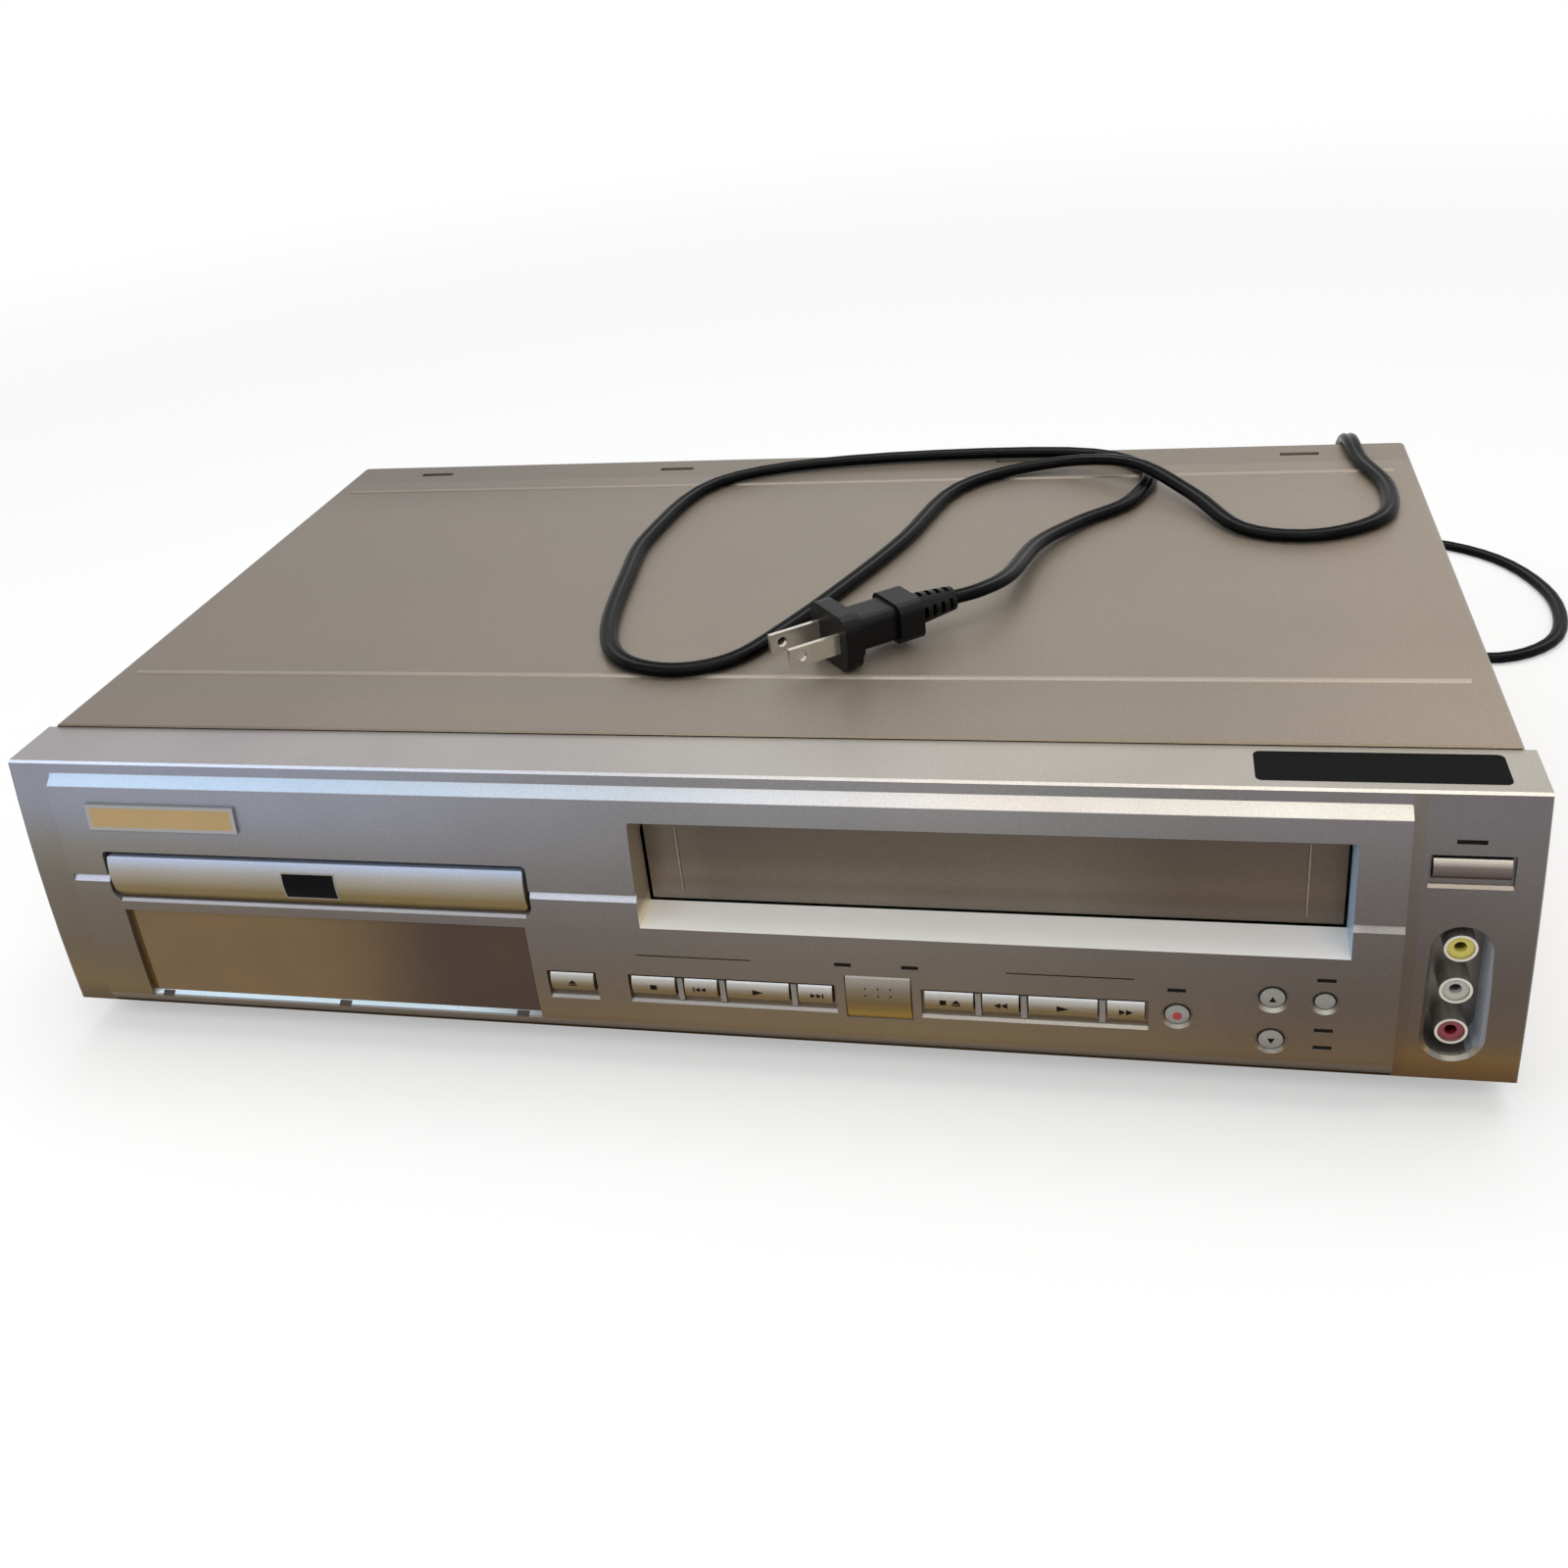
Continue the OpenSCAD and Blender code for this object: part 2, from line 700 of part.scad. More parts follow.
// Cup behind the opening for the front sockets
module socket_cup() {
    wall = 1.6;
    w = jack_recess_w / 2;
    difference() {
        across(panel_out + 2, panel_out + jack_floor + wall)
            rounded([jack_x - w - wall, jack_x + w + wall],
                [jack_z[2] - w - 0.4 - wall, jack_z[0] + w + 0.4 + wall], w + wall - 0.1, w + wall - 0.1);
        across(-5, panel_out + jack_floor)
            rounded([jack_x - w, jack_x + w], [jack_z[2] - w - 0.4, jack_z[0] + w + 0.4],
                w - 0.05, w - 0.05);
        for (z = jack_z)
            rod_y(jack_x, z, 0, 30, jack_dia / 2 - 1 + run);
        along_x(jack_x - 20, jack_x + 20)
            difference() {
                translate([y_face - 5, 0])
                    square([12, 100]);
                translate([body_y, crest_z])
                    circle(r = face_r - 1, $fn = 360);
            }
    }
}

// The sill falls a little towards the front
module slot_sill() {
    along_x(slot_x0, slot_x1)
        translate([y_face, slot_z0])
            polygon([[-5, 1], [-5, -sill_fall], [face_depth(slot_z0, panel_out), -sill_fall],
                [door_d, 0], [door_d, 1]]);
}

// Sill, sides and head of the cassette slot, between the face and the door
module slot_tunnel() {
    difference() {
        across(face_depth(slot_z0, panel_out) + 1, door_d - 2 * fit)
            rounded([slot_x0 - bezel_wall, slot_x1 + bezel_wall],
                [slot_z0 - bezel_wall, slot_z1 + bezel_wall], 1.5, 1.5);
        across(-5, door_d + 1)
            rounded([slot_x0, slot_x1], [slot_z0, slot_z1], 1, 1);
        slot_sill();
        along_x(slot_x0 - 9, slot_x1 + 9)
            difference() {
                translate([y_face - 5, 0])
                    square([20, case_h]);
                translate([body_y, crest_z])
                    circle(r = face_r - 1, $fn = 360);
            }
    }
}

// Lugs behind the face that carry the cassette door's pins
module door_ears() {
    ear_t = 3;
    for (s = [0, 1])
        difference() {
            block([s ? slot_x1 : slot_x0 - ear_t, s ? slot_x1 + ear_t : slot_x0],
                [face_depth(slot_z1, -bezel_wall) - 1, door_pin_d + 4], [slot_z1 - 8, slot_z1 + 5]);
            rod_x(door_pin_d, door_pin_z, slot_x0 - 5, slot_x1 + 5, door_pin_r + run);
        }
}

// A bar key with a rounded face, a flange behind the bezel and a stem
module bar_key(k, out) {
    bulge = 0.9;
    h = k[3] - k[2];
    zm = (k[2] + k[3]) / 2;
    r = (pow(h / 2, 2) + pow(bulge, 2)) / (2 * bulge);
    d = face_depth(zm, out);
    back = face_depth(zm, -bezel_wall) + fit + 0.6;
    color(silver) {
        along_x(k[0], k[1])
            intersection() {
                translate([y_face + d + r, zm])
                    circle(r = r, $fn = 96);
                translate([y_face + d - 1, k[2]])
                    square([bulge + 1 + eps, h]);
            }
        block([k[0], k[1]], [d + bulge, back], [k[2], k[3]]);
        block([k[0] - key_flange, k[1] + key_flange], [back, back + 1],
            [k[2] - key_flange, k[3] + key_flange]);
        rod_y((k[0] + k[1]) / 2, zm, back + 0.5, board_d - switch_t - key_travel - 0.2, 1.5);
    }
}

// A round key with a domed face, a flange and a stem
module round_key(k) {
    out = panel_out + 0.2;
    d = face_depth(k[1], out);
    dome = 0.7;
    r = (pow(k[2], 2) + pow(dome, 2)) / (2 * dome);
    back = face_depth(k[1], -bezel_wall) + fit + 0.6;
    color(silver) {
        intersection() {
            translate([k[0], y_face + d + r, k[1]])
                sphere(r = r, $fn = 64);
            rod_y(k[0], k[1], d - 1, back + eps, k[2]);
        }
        rod_y(k[0], k[1], back, back + 1, k[2] + key_flange);
        rod_y(k[0], k[1], back + 0.5, board_d - switch_t - key_travel - 0.2, 1.5);
    }
}

board_d = 22;
board_t = 1.6;
switch_t = 4;
switch_w = 6;

module power_button() { bar_key(power_key, key_proud); }
module open_close_button() { bar_key(open_key, panel_out + key_proud); }
module dvd_stop_button() { bar_key(stop_key, panel_out + key_proud); }
module skip_back_button() { bar_key(back_key, panel_out + key_proud); }
module dvd_play_button() { bar_key(play_key, panel_out + key_proud); }
module skip_forward_button() { bar_key(forward_key, panel_out + key_proud); }
module output_button() { bar_key(output_key, panel_out + key_proud); }
module vcr_stop_eject_button() { bar_key(vstop_key, panel_out + key_proud); }
module rewind_button() { bar_key(rewind_key, panel_out + key_proud); }
module vcr_play_button() { bar_key(vplay_key, panel_out + key_proud); }
module fast_forward_button() { bar_key(ffwd_key, panel_out + key_proud); }
module record_button() { round_key(record_key); }
module channel_up_button() { round_key(up_key); }
module channel_down_button() { round_key(down_key); }
module timer_button() { round_key(timer_key); }

// ---------------------------------------------------------------- behind the face

// Pillars behind the face, for the two circuit boards there: x and z
board_pillars = [[-31, 43.4], [64, 43.4], [146, 43.4], [-31, 20], [64, 19.6], [145, 18]];
display_pillars = [[-190.5, 16.6], [-190.5, 48.4], [-53.4, 16.6], [-53.4, 48.4]];
power_pillars = [[189.6, 68.6], [211.6, 88]];
display_d = 14;
pillar_r = 2.2;

module pillars() {
    for (p = board_pillars)
        rod_y(p[0], p[1], face_depth(p[1], -bezel_wall) - 0.6, board_d, pillar_r);
    for (p = display_pillars)
        rod_y(p[0], p[1], face_depth(p[1], -bezel_wall) - 0.6, display_d, pillar_r);
    for (p = power_pillars)
        rod_y(p[0], p[1], face_depth(p[1], -bezel_wall) - 0.6, board_d, pillar_r);
}

module display_window() {
    color([0.20, 0.16, 0.12, 0.8])
        along_x(window_x[0] + 0.1, window_x[1] - 0.1)
            face_sheet(panel_out - window_deep, panel_out - window_deep - window_t + 0.1,
                window_z[0], window_z[1] - 0.1);
}

module display_module() {
    glass_x = [-164, -80];
    glass_z = [22, 46];
    color(board_green)
        block([-193, -51], [display_d + 0.1, display_d + 0.1 + board_t], [14.2, 50.8]);
    color([0.15, 0.2, 0.2])
        block(glass_x, [face_depth(34, panel_out - window_deep - window_t) + 2, display_d + 0.2], glass_z);
}

module indicator_lenses() {
    color([0.06, 0.05, 0.05]) {
        for (p = lamps)
            lamp(p, lamp_w, 0.1, face_depth(p[1], panel_out) + 0.3,
                face_depth(p[1], -bezel_wall) + 4);
        lamp(power_lamp, power_lamp_w, 0.1, face_depth(power_lamp[1], 0) + 0.3,
            face_depth(power_lamp[1], -bezel_wall) + 4);
    }
}

module badge_plate() {
    color([0.72, 0.66, 0.52])
        along_x(badge_x[0], badge_x[1])
            face_sheet(panel_out + 1, panel_out + 0.05, badge_z[0], badge_z[1]);
}

module switch_at(x, z, d) {
    color(dark) {
        block([x - switch_w / 2, x + switch_w / 2], [d - switch_t + 0.8, d],
            [z - switch_w / 2, z + switch_w / 2]);
        rod_y(x, z, d - switch_t, d - switch_t + 0.9, 1.7);
    }
}

module button_board() {
    cup_back = panel_out + jack_floor + 1.6;
    color(board_green) {
        block([-54, panel_x1 - 4], [board_d + 0.1, board_d + 0.1 + board_t], [15, loader_z0 - fit]);
        block([panel_x1 + 0.5, case_w / 2 - 1.5], [board_d + 0.1, board_d + 0.1 + board_t], [66, 90]);
        block([jack_x - 10.5, jack_x + 11.5], [cup_back + 0.1, cup_back + 0.1 + board_t],
            [jack_z[2] - 8, jack_z[0] + 7]);
    }
    for (k = concat(bar_keys, [output_key, power_key]))
        switch_at((k[0] + k[1]) / 2, (k[2] + k[3]) / 2, board_d + 0.2);
    for (k = round_keys)
        switch_at(k[0], k[1], board_d + 0.2);
}

module jack_shell(x, z, d0, d1, r) {
    difference() {
        rod_y(x, z, d0, d1, r);
        rod_y(x, z, d0 - 1, d1 - 1.2, r - 0.7);
        rod_y(x, z, d0 - 1, d1 + 1, 2.2);
    }
}

front_jack_d = panel_out + jack_floor;

module front_jack_shells() {
    color([0.8, 0.78, 0.74])
        for (z = jack_z) {
            jack_shell(jack_x, z, front_jack_d - jack_shell_len, front_jack_d - 0.1, jack_dia / 2);
            difference() {
                rod_y(jack_x, z, front_jack_d - 0.2, front_jack_d + 1.5, jack_dia / 2 - 1);
                rod_y(jack_x, z, front_jack_d - 2, front_jack_d + 2, 2.2);
            }
        }
}

module front_jack_inserts() {
    for (k = [0:2])
        color([[0.85, 0.80, 0.20], [0.92, 0.92, 0.90], [0.70, 0.10, 0.20]][k])
            difference() {
                union() {
                    rod_y(jack_x, jack_z[k], front_jack_d - jack_shell_len + 0.8, front_jack_d - 1.4,
                        jack_dia / 2 - 0.75);
                    rod_y(jack_x, jack_z[k], front_jack_d - 1.6, front_jack_d + 1.5, 2.1);
                }
                rod_y(jack_x, jack_z[k], 0, front_jack_d + 0.2, 1.6);
            }
}

// ---------------------------------------------------------------- disc loader

leg_d = [bezel_d + sheet_t + 4.6, 180];
ledge_w = 7;
guide_rib = 1.6;

module loader_frame() {
    rail = tray_w / 2 + fit;
    color([0.16, 0.16, 0.17]) {
        difference() {
            block([loader_x0, loader_x1], [loader_d0, loader_d1], [loader_z0, loader_z1]);
            block([loader_x0 + loader_wall, loader_x1 - loader_wall],
                [loader_d0 - 1, loader_d1 - loader_wall],
                [loader_z0 + loader_floor_t, loader_z1 + 1]);
            // Opening under the optical unit
            block([tray_x - 22, tray_x + 22], [disc_d - 10, loader_d1 - 14],
                [loader_z0 - 1, loader_z0 + loader_floor_t + 1]);
            for (s = [-1, 1], k = [0:2])
                block([tray_x + s * 66 - 4, tray_x + s * 66 + 4], [60 + 40 * k, 82 + 40 * k],
                    [loader_z0 - 1, loader_z0 + loader_floor_t + 1]);
        }
        // Ledges that the tray slides on, and ribs that guide its edges
        for (s = [-1, 1]) {
            block([tray_x + (s > 0 ? rail - ledge_w : -rail), tray_x + (s > 0 ? rail : -rail + ledge_w)],
                [loader_d0, loader_d1 - 12], [loader_z0 + loader_floor_t - eps, tray_z0 - fit]);
            block([tray_x + (s > 0 ? rail : -rail - guide_rib),
                tray_x + (s > 0 ? rail + guide_rib : -rail)],
                [loader_d0, loader_d1 - 12], [loader_z0 + loader_floor_t - eps, tray_z1 + fit + 0.6]);
            for (d = [loader_d0, 96])
                block([tray_x + (s > 0 ? rail - 2.4 : -rail - guide_rib),
                    tray_x + (s > 0 ? rail + guide_rib : -rail + 2.4)],
                    [d, d + 10], [tray_z1 + fit, tray_z1 + fit + 1.6]);
        }
        // Post for the drawer gear
        post(gear_x, gear_d, loader_z0 + loader_floor_t - eps, gear_z0 - run, 3.2);
        post(gear_x, gear_d, loader_z0 + loader_floor_t, gear_z0 + gear_h + 0.3, 2);
        // Legs down to the pan
        for (x = [loader_x0 + 5, loader_x1 - 5], d = leg_d)
            post(x, d, floor_z, loader_z0 + eps, 4);
    }
}

module disc_tray() {
    color([0.14, 0.14, 0.15]) {
        difference() {
            block([tray_x - tray_w / 2, tray_x + tray_w / 2], [tray_d0, tray_d1],
                [tray_z0, tray_z1]);
            post(tray_x, disc_d, tray_z1 - disc_recess_t, tray_z1 + 1, disc_dia / 2 + 1);
            post(tray_x, disc_d, tray_z1 - disc_recess_t - inner_recess_t, tray_z1 + 1, 41);
            post(tray_x, disc_d, tray_z0 - 1, tray_z1 + 1, spindle_slot_w / 2);
            block([tray_x - spindle_slot_w / 2, tray_x + spindle_slot_w / 2],
                [disc_d, tray_d1 + 1], [tray_z0 - 1, tray_z1 + 1]);
            // Finger notches at the sides of the recess
            for (s = [-1, 1])
                post(tray_x + s * 38, tray_d0 + 14, tray_z1 - disc_recess_t - inner_recess_t,
                    tray_z1 + 1, 9);
            // Hollow underside
            block([tray_x - tray_w / 2 + tray_rib, tray_x + tray_w / 2 - tray_rib],
                [tray_d0 + 3, tray_d1 - 2], [tray_z0 - 1, tray_floor_z]);
            block([tray_x - tray_w / 2 + tray_rib, tray_x + tray_w / 2 - tray_rib],
                [tray_d1 - 3, tray_d1 + 1], [tray_z0 - 1, tray_floor_z]);
        }
        // Rack along the left rib
        translate([rack_x, y_face + gear_d, gear_z0])
            linear_extrude(gear_h + 0.4)
                rack_profile();
    }
}

module rack_profile() {
    pitch = PI * rack_module;
    foot_x = -1.25 * rack_module;
    polygon(concat([[foot_x - 0.5, -2 * pitch]],
        [for (k = [-2:rack_teeth - 3]) each [
            [foot_x, (k + 0.5 - 0.37) * pitch], [0.95 * rack_module, (k + 0.5 - 0.14) * pitch],
            [0.95 * rack_module, (k + 0.5 + 0.14) * pitch], [foot_x, (k + 0.5 + 0.37) * pitch]]],
        [[foot_x - 0.5, (rack_teeth - 2) * pitch]]));
}

module tray_front() {
    bulge = 1.5;
    r = (pow(tray_front_h / 2, 2) + pow(bulge, 2)) / (2 * bulge);
    d = face_depth(tray_z, panel_out) - 0.6;
    color(silver)
        intersection() {
            along_x(tray_x - tray_front_w / 2, tray_x + tray_front_w / 2)
                intersection() {
                    translate([y_face + d + r, tray_z])
                        circle(r = r, $fn = 160);
                    translate([y_face + d - 1, tray_z - tray_front_h / 2])
                        square([tray_d0 - d + 1, tray_front_h]);
                }
            across(-5, tray_d0)
                rounded([tray_x - tray_front_w / 2, tray_x + tray_front_w / 2],
                    [tray_z - tray_front_h / 2, tray_z + tray_front_h / 2], 2.5, 0.6);
        }
}

module tray_gear() {
    color([0.9, 0.9, 0.86])
        translate([gear_x, y_face + gear_d, gear_z0])
            gear(gear_teeth, rack_module, gear_h, 2 + run);
}

module clamp_bridge() {
    color(steel)
        difference() {
            union() {
                block([loader_x0 + 1, loader_x1 - 1], [disc_d - 17, disc_d + 17], [clamp_z, clamp_z + 1]);
                post(tray_x, disc_d, clamp_z, clamp_z + 1, 24);
                for (s = [-1, 1])
                    block([tray_x + s * 45 - 22, tray_x + s * 45 + 22], [disc_d - 1.5, disc_d + 1.5],
                        [clamp_z + 0.9, clamp_z + 2]);
            }
            post(tray_x, disc_d, clamp_z - 1, clamp_z + 3, clamp_r + fit);
        }
}

module clamp_disc() {
    color(dark) {
        post(tray_x, disc_d, clamp_z - 4, clamp_z + 1.4, clamp_r);
        post(tray_x, disc_d, clamp_z + 1.3, clamp_z + 2.6, clamp_r + 2.2);
    }
}

module turntable() {
    color([0.2, 0.2, 0.22]) {
        post(tray_x, disc_d, platter_top - 2, platter_top, platter_r);
        translate([tray_x, y_face + disc_d, 0])
            rotate_extrude()
                polygon([[0, platter_top - 1], [7.3, platter_top - 1], [7.3, platter_top + 1.4],
                    [5.5, platter_top + 2.6], [0, platter_top + 2.6]]);
    }
    color(steel)
        post(tray_x, disc_d, traverse_z + 1.2, platter_top - 1, rod_r);
}

module traverse_plate() {
    z = traverse_z;
    d1 = sled_d0 + sled_len + sled_travel + 8;
    color(steel) {
        difference() {
            union() {
                block([tray_x - 40, tray_x + 40], [disc_d - 18, d1], [z, z + 1]);
                post(tray_x, disc_d, z, tray_z0 - 0.6, motor_r);
            }
            block([tray_x - 20, tray_x + 20], [sled_d0 - 4, d1 - 7], [z - 1, z + 2]);
            post(tray_x, disc_d, z + 1.1, tray_z0 + 1, rod_r + run);
        }
        for (s = [-1, 1]) {
            rod_y(tray_x + s * rod_x_off, rod_z, sled_d0 - 3, d1 - 2, rod_r);
            for (d = [sled_d0 - 5, d1 - 4])
                block([tray_x + s * rod_x_off - 3, tray_x + s * rod_x_off + 3], [d, d + 3],
                    [z + 0.9, tray_z0 - 0.5]);
        }
    }
}

module optical_sled() {
    top = tray_z0 - 0.6;
    color([0.22, 0.22, 0.24])
        difference() {
            union() {
                block([tray_x - 18, tray_x + 18], [sled_d0, sled_d0 + sled_len], [traverse_z + 1.4, top]);
                for (s = [-1, 1])
                    block([tray_x + s * 24 - 7, tray_x + s * 24 + 7], [sled_d0 + 4, sled_d0 + 12],
                        [traverse_z + 1.4, top]);
                post(tray_x, sled_d0 + 12, top - 1, tray_z1 - 5.4, 8);
            }
            for (s = [-1, 1])
                rod_y(tray_x + s * rod_x_off, rod_z, sled_d0 - 1, sled_d0 + sled_len + 1, rod_r + run);
        }
    color([0.4, 0.45, 0.6])
        post(tray_x, sled_d0 + 12, tray_z1 - 5.5, tray_z1 - 4.6, 3.2);
}

// ---------------------------------------------------------------- cassette deck

module deck_plate() {
    half = deck_w / 2;
    color([0.66, 0.66, 0.62]) {
        difference() {
            union() {
                block([deck_x - half, deck_x + half], [deck_d0, deck_d1], [deck_z, deck_top]);
                block([deck_x - half, deck_x + half], [deck_d0, deck_d0 + deck_t], [deck_z, deck_z + 6]);
                for (s = [-1, 1])
                    block([deck_x + s * (half - 1.5 * deck_t) - 1.5 * deck_t,
                        deck_x + s * (half - 1.5 * deck_t) + 1.5 * deck_t],
                        [deck_d0, deck_d1], [deck_z - 5, deck_z + eps]);
            }
            post(deck_x + capstan_x, capstan_d, deck_z - 1, deck_top + 1, 3);
            for (s = [-1, 1])
                translate([deck_x + s * guide_x0, y_face + guide_d0, deck_z - 1])
                    rotate([0, 0, -s * guide_lean])
                        translate([-guide_slot_w / 2, -4, 0])
                            cube([guide_slot_w, guide_len + 8, 4]);
            for (x = [-14, 14])
                post(deck_x + x, reel_d, deck_z - 1, deck_top + 1, 5);
            block([deck_x - 70, deck_x + 70], [38, 46], [deck_z - 1, deck_top + 1]);
        }
        for (s = [-1, 1])
            post(deck_x + s * reel_x, reel_d, deck_top - eps, deck_top + 20, 2);
        post(deck_x + pinch_pivot_x, pinch_pivot_d, deck_top - eps, pinch_z + 5.5, 2);
        for (s = [-1, 1], d = [bezel_d + sheet_t + 2 * fit, deck_d1 - 14])
            block([deck_x + s * (half - 8) - 5, deck_x + s * (half - 8) + 5], [d, d + 8],
                [floor_z, deck_z + eps]);
    }
}

guide_len = sqrt(pow(guide_x1 - guide_x0, 2) + pow(guide_d1 - guide_d0, 2));
guide_lean = atan2(guide_x1 - guide_x0, guide_d1 - guide_d0);

module side_brackets() {
    d0 = holder_d0 - 4;
    d1 = holder_d1 + load_back + 20;
    top = holder_z0 + holder_h + 4;
    color(steel) {
        for (s = [-1, 1])
            difference() {
                union() {
                    block([deck_x + (s > 0 ? bracket_x : -bracket_x - bracket_t),
                        deck_x + (s > 0 ? bracket_x + bracket_t : -bracket_x)],
                        [d0, d1], [deck_top + 0.05, top]);
                    block([deck_x + (s > 0 ? bracket_x : -bracket_x - bracket_foot),
                        deck_x + (s > 0 ? bracket_x + bracket_foot : -bracket_x)],
                        [d0, d1], [deck_top + 0.05, deck_top + bracket_t]);
                }
                for (d = holder_pin_d)
                    translate([deck_x, y_face + d, holder_pin_z])
                        rotate([-load_angle, 0, 0])
                            translate([-half_span(), -holder_pin_r - fit, -holder_pin_r - fit])
                                cube([2 * half_span(), load_len + 2 * (holder_pin_r + fit),
                                    2 * (holder_pin_r + fit)]);
                block([deck_x - half_span(), deck_x + half_span()], [d0 - 1, d0 + 26],
                    [deck_top + 10, deck_top + 24]);
            }
        block([deck_x - bracket_x - 0.5, deck_x + bracket_x + 0.5], [112, 126], [top - bracket_t, top]);
    }
}

function half_span() = bracket_x + 9;

module cassette_holder() {
    half = holder_w / 2;
    z1 = holder_z0 + holder_h;
    color([0.68, 0.68, 0.66]) {
        difference() {
            block([deck_x - half, deck_x + half], [holder_d0, holder_d1], [holder_z0, z1]);
            block([deck_x - half + holder_t, deck_x + half - holder_t], [holder_d0 - 1, holder_d1 + 1],
                [holder_z0 + holder_t, z1 - holder_t]);
            block([deck_x - half + holder_ledge, deck_x + half - holder_ledge],
                [holder_d0 - 1, holder_d1 + 1], [holder_z0 - 1, holder_z0 + holder_t + 1]);
            block([deck_x - 56, deck_x + 56], [holder_d0 + 10, holder_d1 - 10], [z1 - holder_t - 1, z1 + 1]);
        }
        for (s = [-1, 1]) {
            block([deck_x + s * 70 - 8, deck_x + s * 70 + 8], [holder_d1 - holder_t, holder_d1],
                [z1 - 10, z1]);
            for (d = holder_pin_d)
                rod_x(d, holder_pin_z, deck_x + (s > 0 ? half - eps : -bracket_x - bracket_t - 1),
                    deck_x + (s > 0 ? bracket_x + bracket_t + 1 : -half + eps), holder_pin_r);
        }
    }
}

module cassette_door() {
    rib_x = [deck_x - 86.4, deck_x + 86.4];
    color([0.52, 0.50, 0.46]) {
        block([deck_x - door_w / 2, deck_x + door_w / 2], [door_d, door_d + door_t],
            [door_z0, door_pin_z + 1]);
        for (x = rib_x)
            block([x - 0.3, x + 0.3], [door_d - 0.3, door_d + eps], [door_z0 + 2, slot_z1 - 6]);
        rod_x(door_pin_d, door_pin_z, slot_x0 - 3, slot_x1 + 3, door_pin_r);
    }
}

module at_drum() {
    translate([deck_x, y_face + drum_d, deck_top + drum_base_h])
        rotate([drum_tilt, 0, 0])
            children();
}

module lower_drum() {
    r = drum_dia / 2;
    color([0.74, 0.74, 0.75]) {
        difference() {
            union() {
                at_drum() cylinder(h = lower_drum_h, r = r);
                intersection() {
                    post(deck_x, drum_d, deck_top + 0.05, deck_top + 12, r - 3);
                    at_drum() translate([-r, -r, -12]) cube([2 * r, 2 * r, 14]);
                }
                for (s = [-1, 1])
                    block([deck_x + s * (r + 1) - 5, deck_x + s * (r + 1) + 5], [drum_d - 6, drum_d + 6],
                        [deck_top + 0.05, deck_top + 3]);
            }
            at_drum() translate([0, 0, 1]) cylinder(h = lower_drum_h, r = 2.5 + run);
        }
    }
}

module upper_drum() {
    z0 = lower_drum_h + drum_gap;
    color([0.80, 0.80, 0.82])
        at_drum() {
            difference() {
                translate([0, 0, z0])
                    cylinder(h = upper_drum_h, r = drum_dia / 2);
                translate([0, 0, z0 + upper_drum_h - 2.5])
                    difference() {
                        cylinder(h = 3, r = drum_dia / 2 - 5);
                        translate([0, 0, -1])
                            cylinder(h = 5, r = 12);
                    }
                for (a = [0, 180])
                    rotate([0, 0, a])
                        translate([drum_dia / 2 - 3, -2, z0 - 1])
                            cube([4, 4, 2.2]);
            }
            translate([0, 0, 3])
                cylinder(h = z0, r = 2.5);
            translate([0, 0, z0 + upper_drum_h - eps])
                cylinder(h = 3, r = 8);
        }
}

module reel(s) {
    z = deck_top + 0.5;
    color([0.86, 0.86, 0.82])
        translate([deck_x + s * reel_x, y_face + reel_d, z])
            difference() {
                union() {
                    cylinder(h = 3, r = reel_r);
                    cylinder(h = 6, r = 13);
                    cylinder(h = 20.5, r = 5.5);
                    for (a = [0, 120, 240])
                        rotate([0, 0, a])
                            translate([0, -1, 0])
                                cube([8.5, 2, 17]);
                }
                translate([0, 0, -eps])
                    cylinder(h = 25, r = 2 + run);
                for (a = [0:60:300])
                    rotate([0, 0, a])
                        translate([18.5, 0, -1])
                            cylinder(h = 6, r = 2.4);
            }
}

module supply_reel() { reel(-1); }
module takeup_reel() { reel(1); }

module capstan_bearing() {
    color([0.72, 0.62, 0.36])
        difference() {
            union() {
                post(deck_x + capstan_x, capstan_d, deck_top + 0.05, deck_top + 2, capstan_flange_r);
                post(deck_x + capstan_x, capstan_d, deck_top + 0.05, deck_top + 3.8, 3.8);
            }
            post(deck_x + capstan_x, capstan_d, deck_top - 1, deck_top + 5, capstan_r + run);
        }
}

module capstan_flywheel() {
    z1 = deck_z - 2.2;
    color(steel) {
        difference() {
            post(deck_x + capstan_x, capstan_d, z1 - 5, z1, flywheel_r);
            post(deck_x + capstan_x, capstan_d, z1 - 6, z1 - 2, flywheel_r - 4);
        }
        post(deck_x + capstan_x, capstan_d, z1 - 4, deck_top + 34, capstan_r);
    }
}

module pinch_arm() {
    a = pinch_rest_angle;
    color(steel)
        translate([deck_x + pinch_pivot_x, y_face + pinch_pivot_d, pinch_z])
            difference() {
                union() {
                    cylinder(h = 4, r = 4.5);
                    rotate([0, 0, a])
                        translate([0, -3, 0])
                            cube([pinch_len + 2, 6, 1.6]);
                    translate([pinch_len * cos(a), pinch_len * sin(a), 0])
                        cylinder(h = 17.5, r = 1.5);
                }
                translate([0, 0, -eps])
                    cylinder(h = 5, r = 2 + run);
            }
}

module pinch_roller() {
    a = pinch_rest_angle;
    color([0.08, 0.08, 0.08])
        translate([deck_x + pinch_pivot_x + pinch_len * cos(a),
            y_face + pinch_pivot_d + pinch_len * sin(a), pinch_z + 1.9])
            difference() {
                cylinder(h = 13, r = pinch_r);
                translate([0, 0, -eps])
                    cylinder(h = 14, r = 1.5 + run);
            }
}

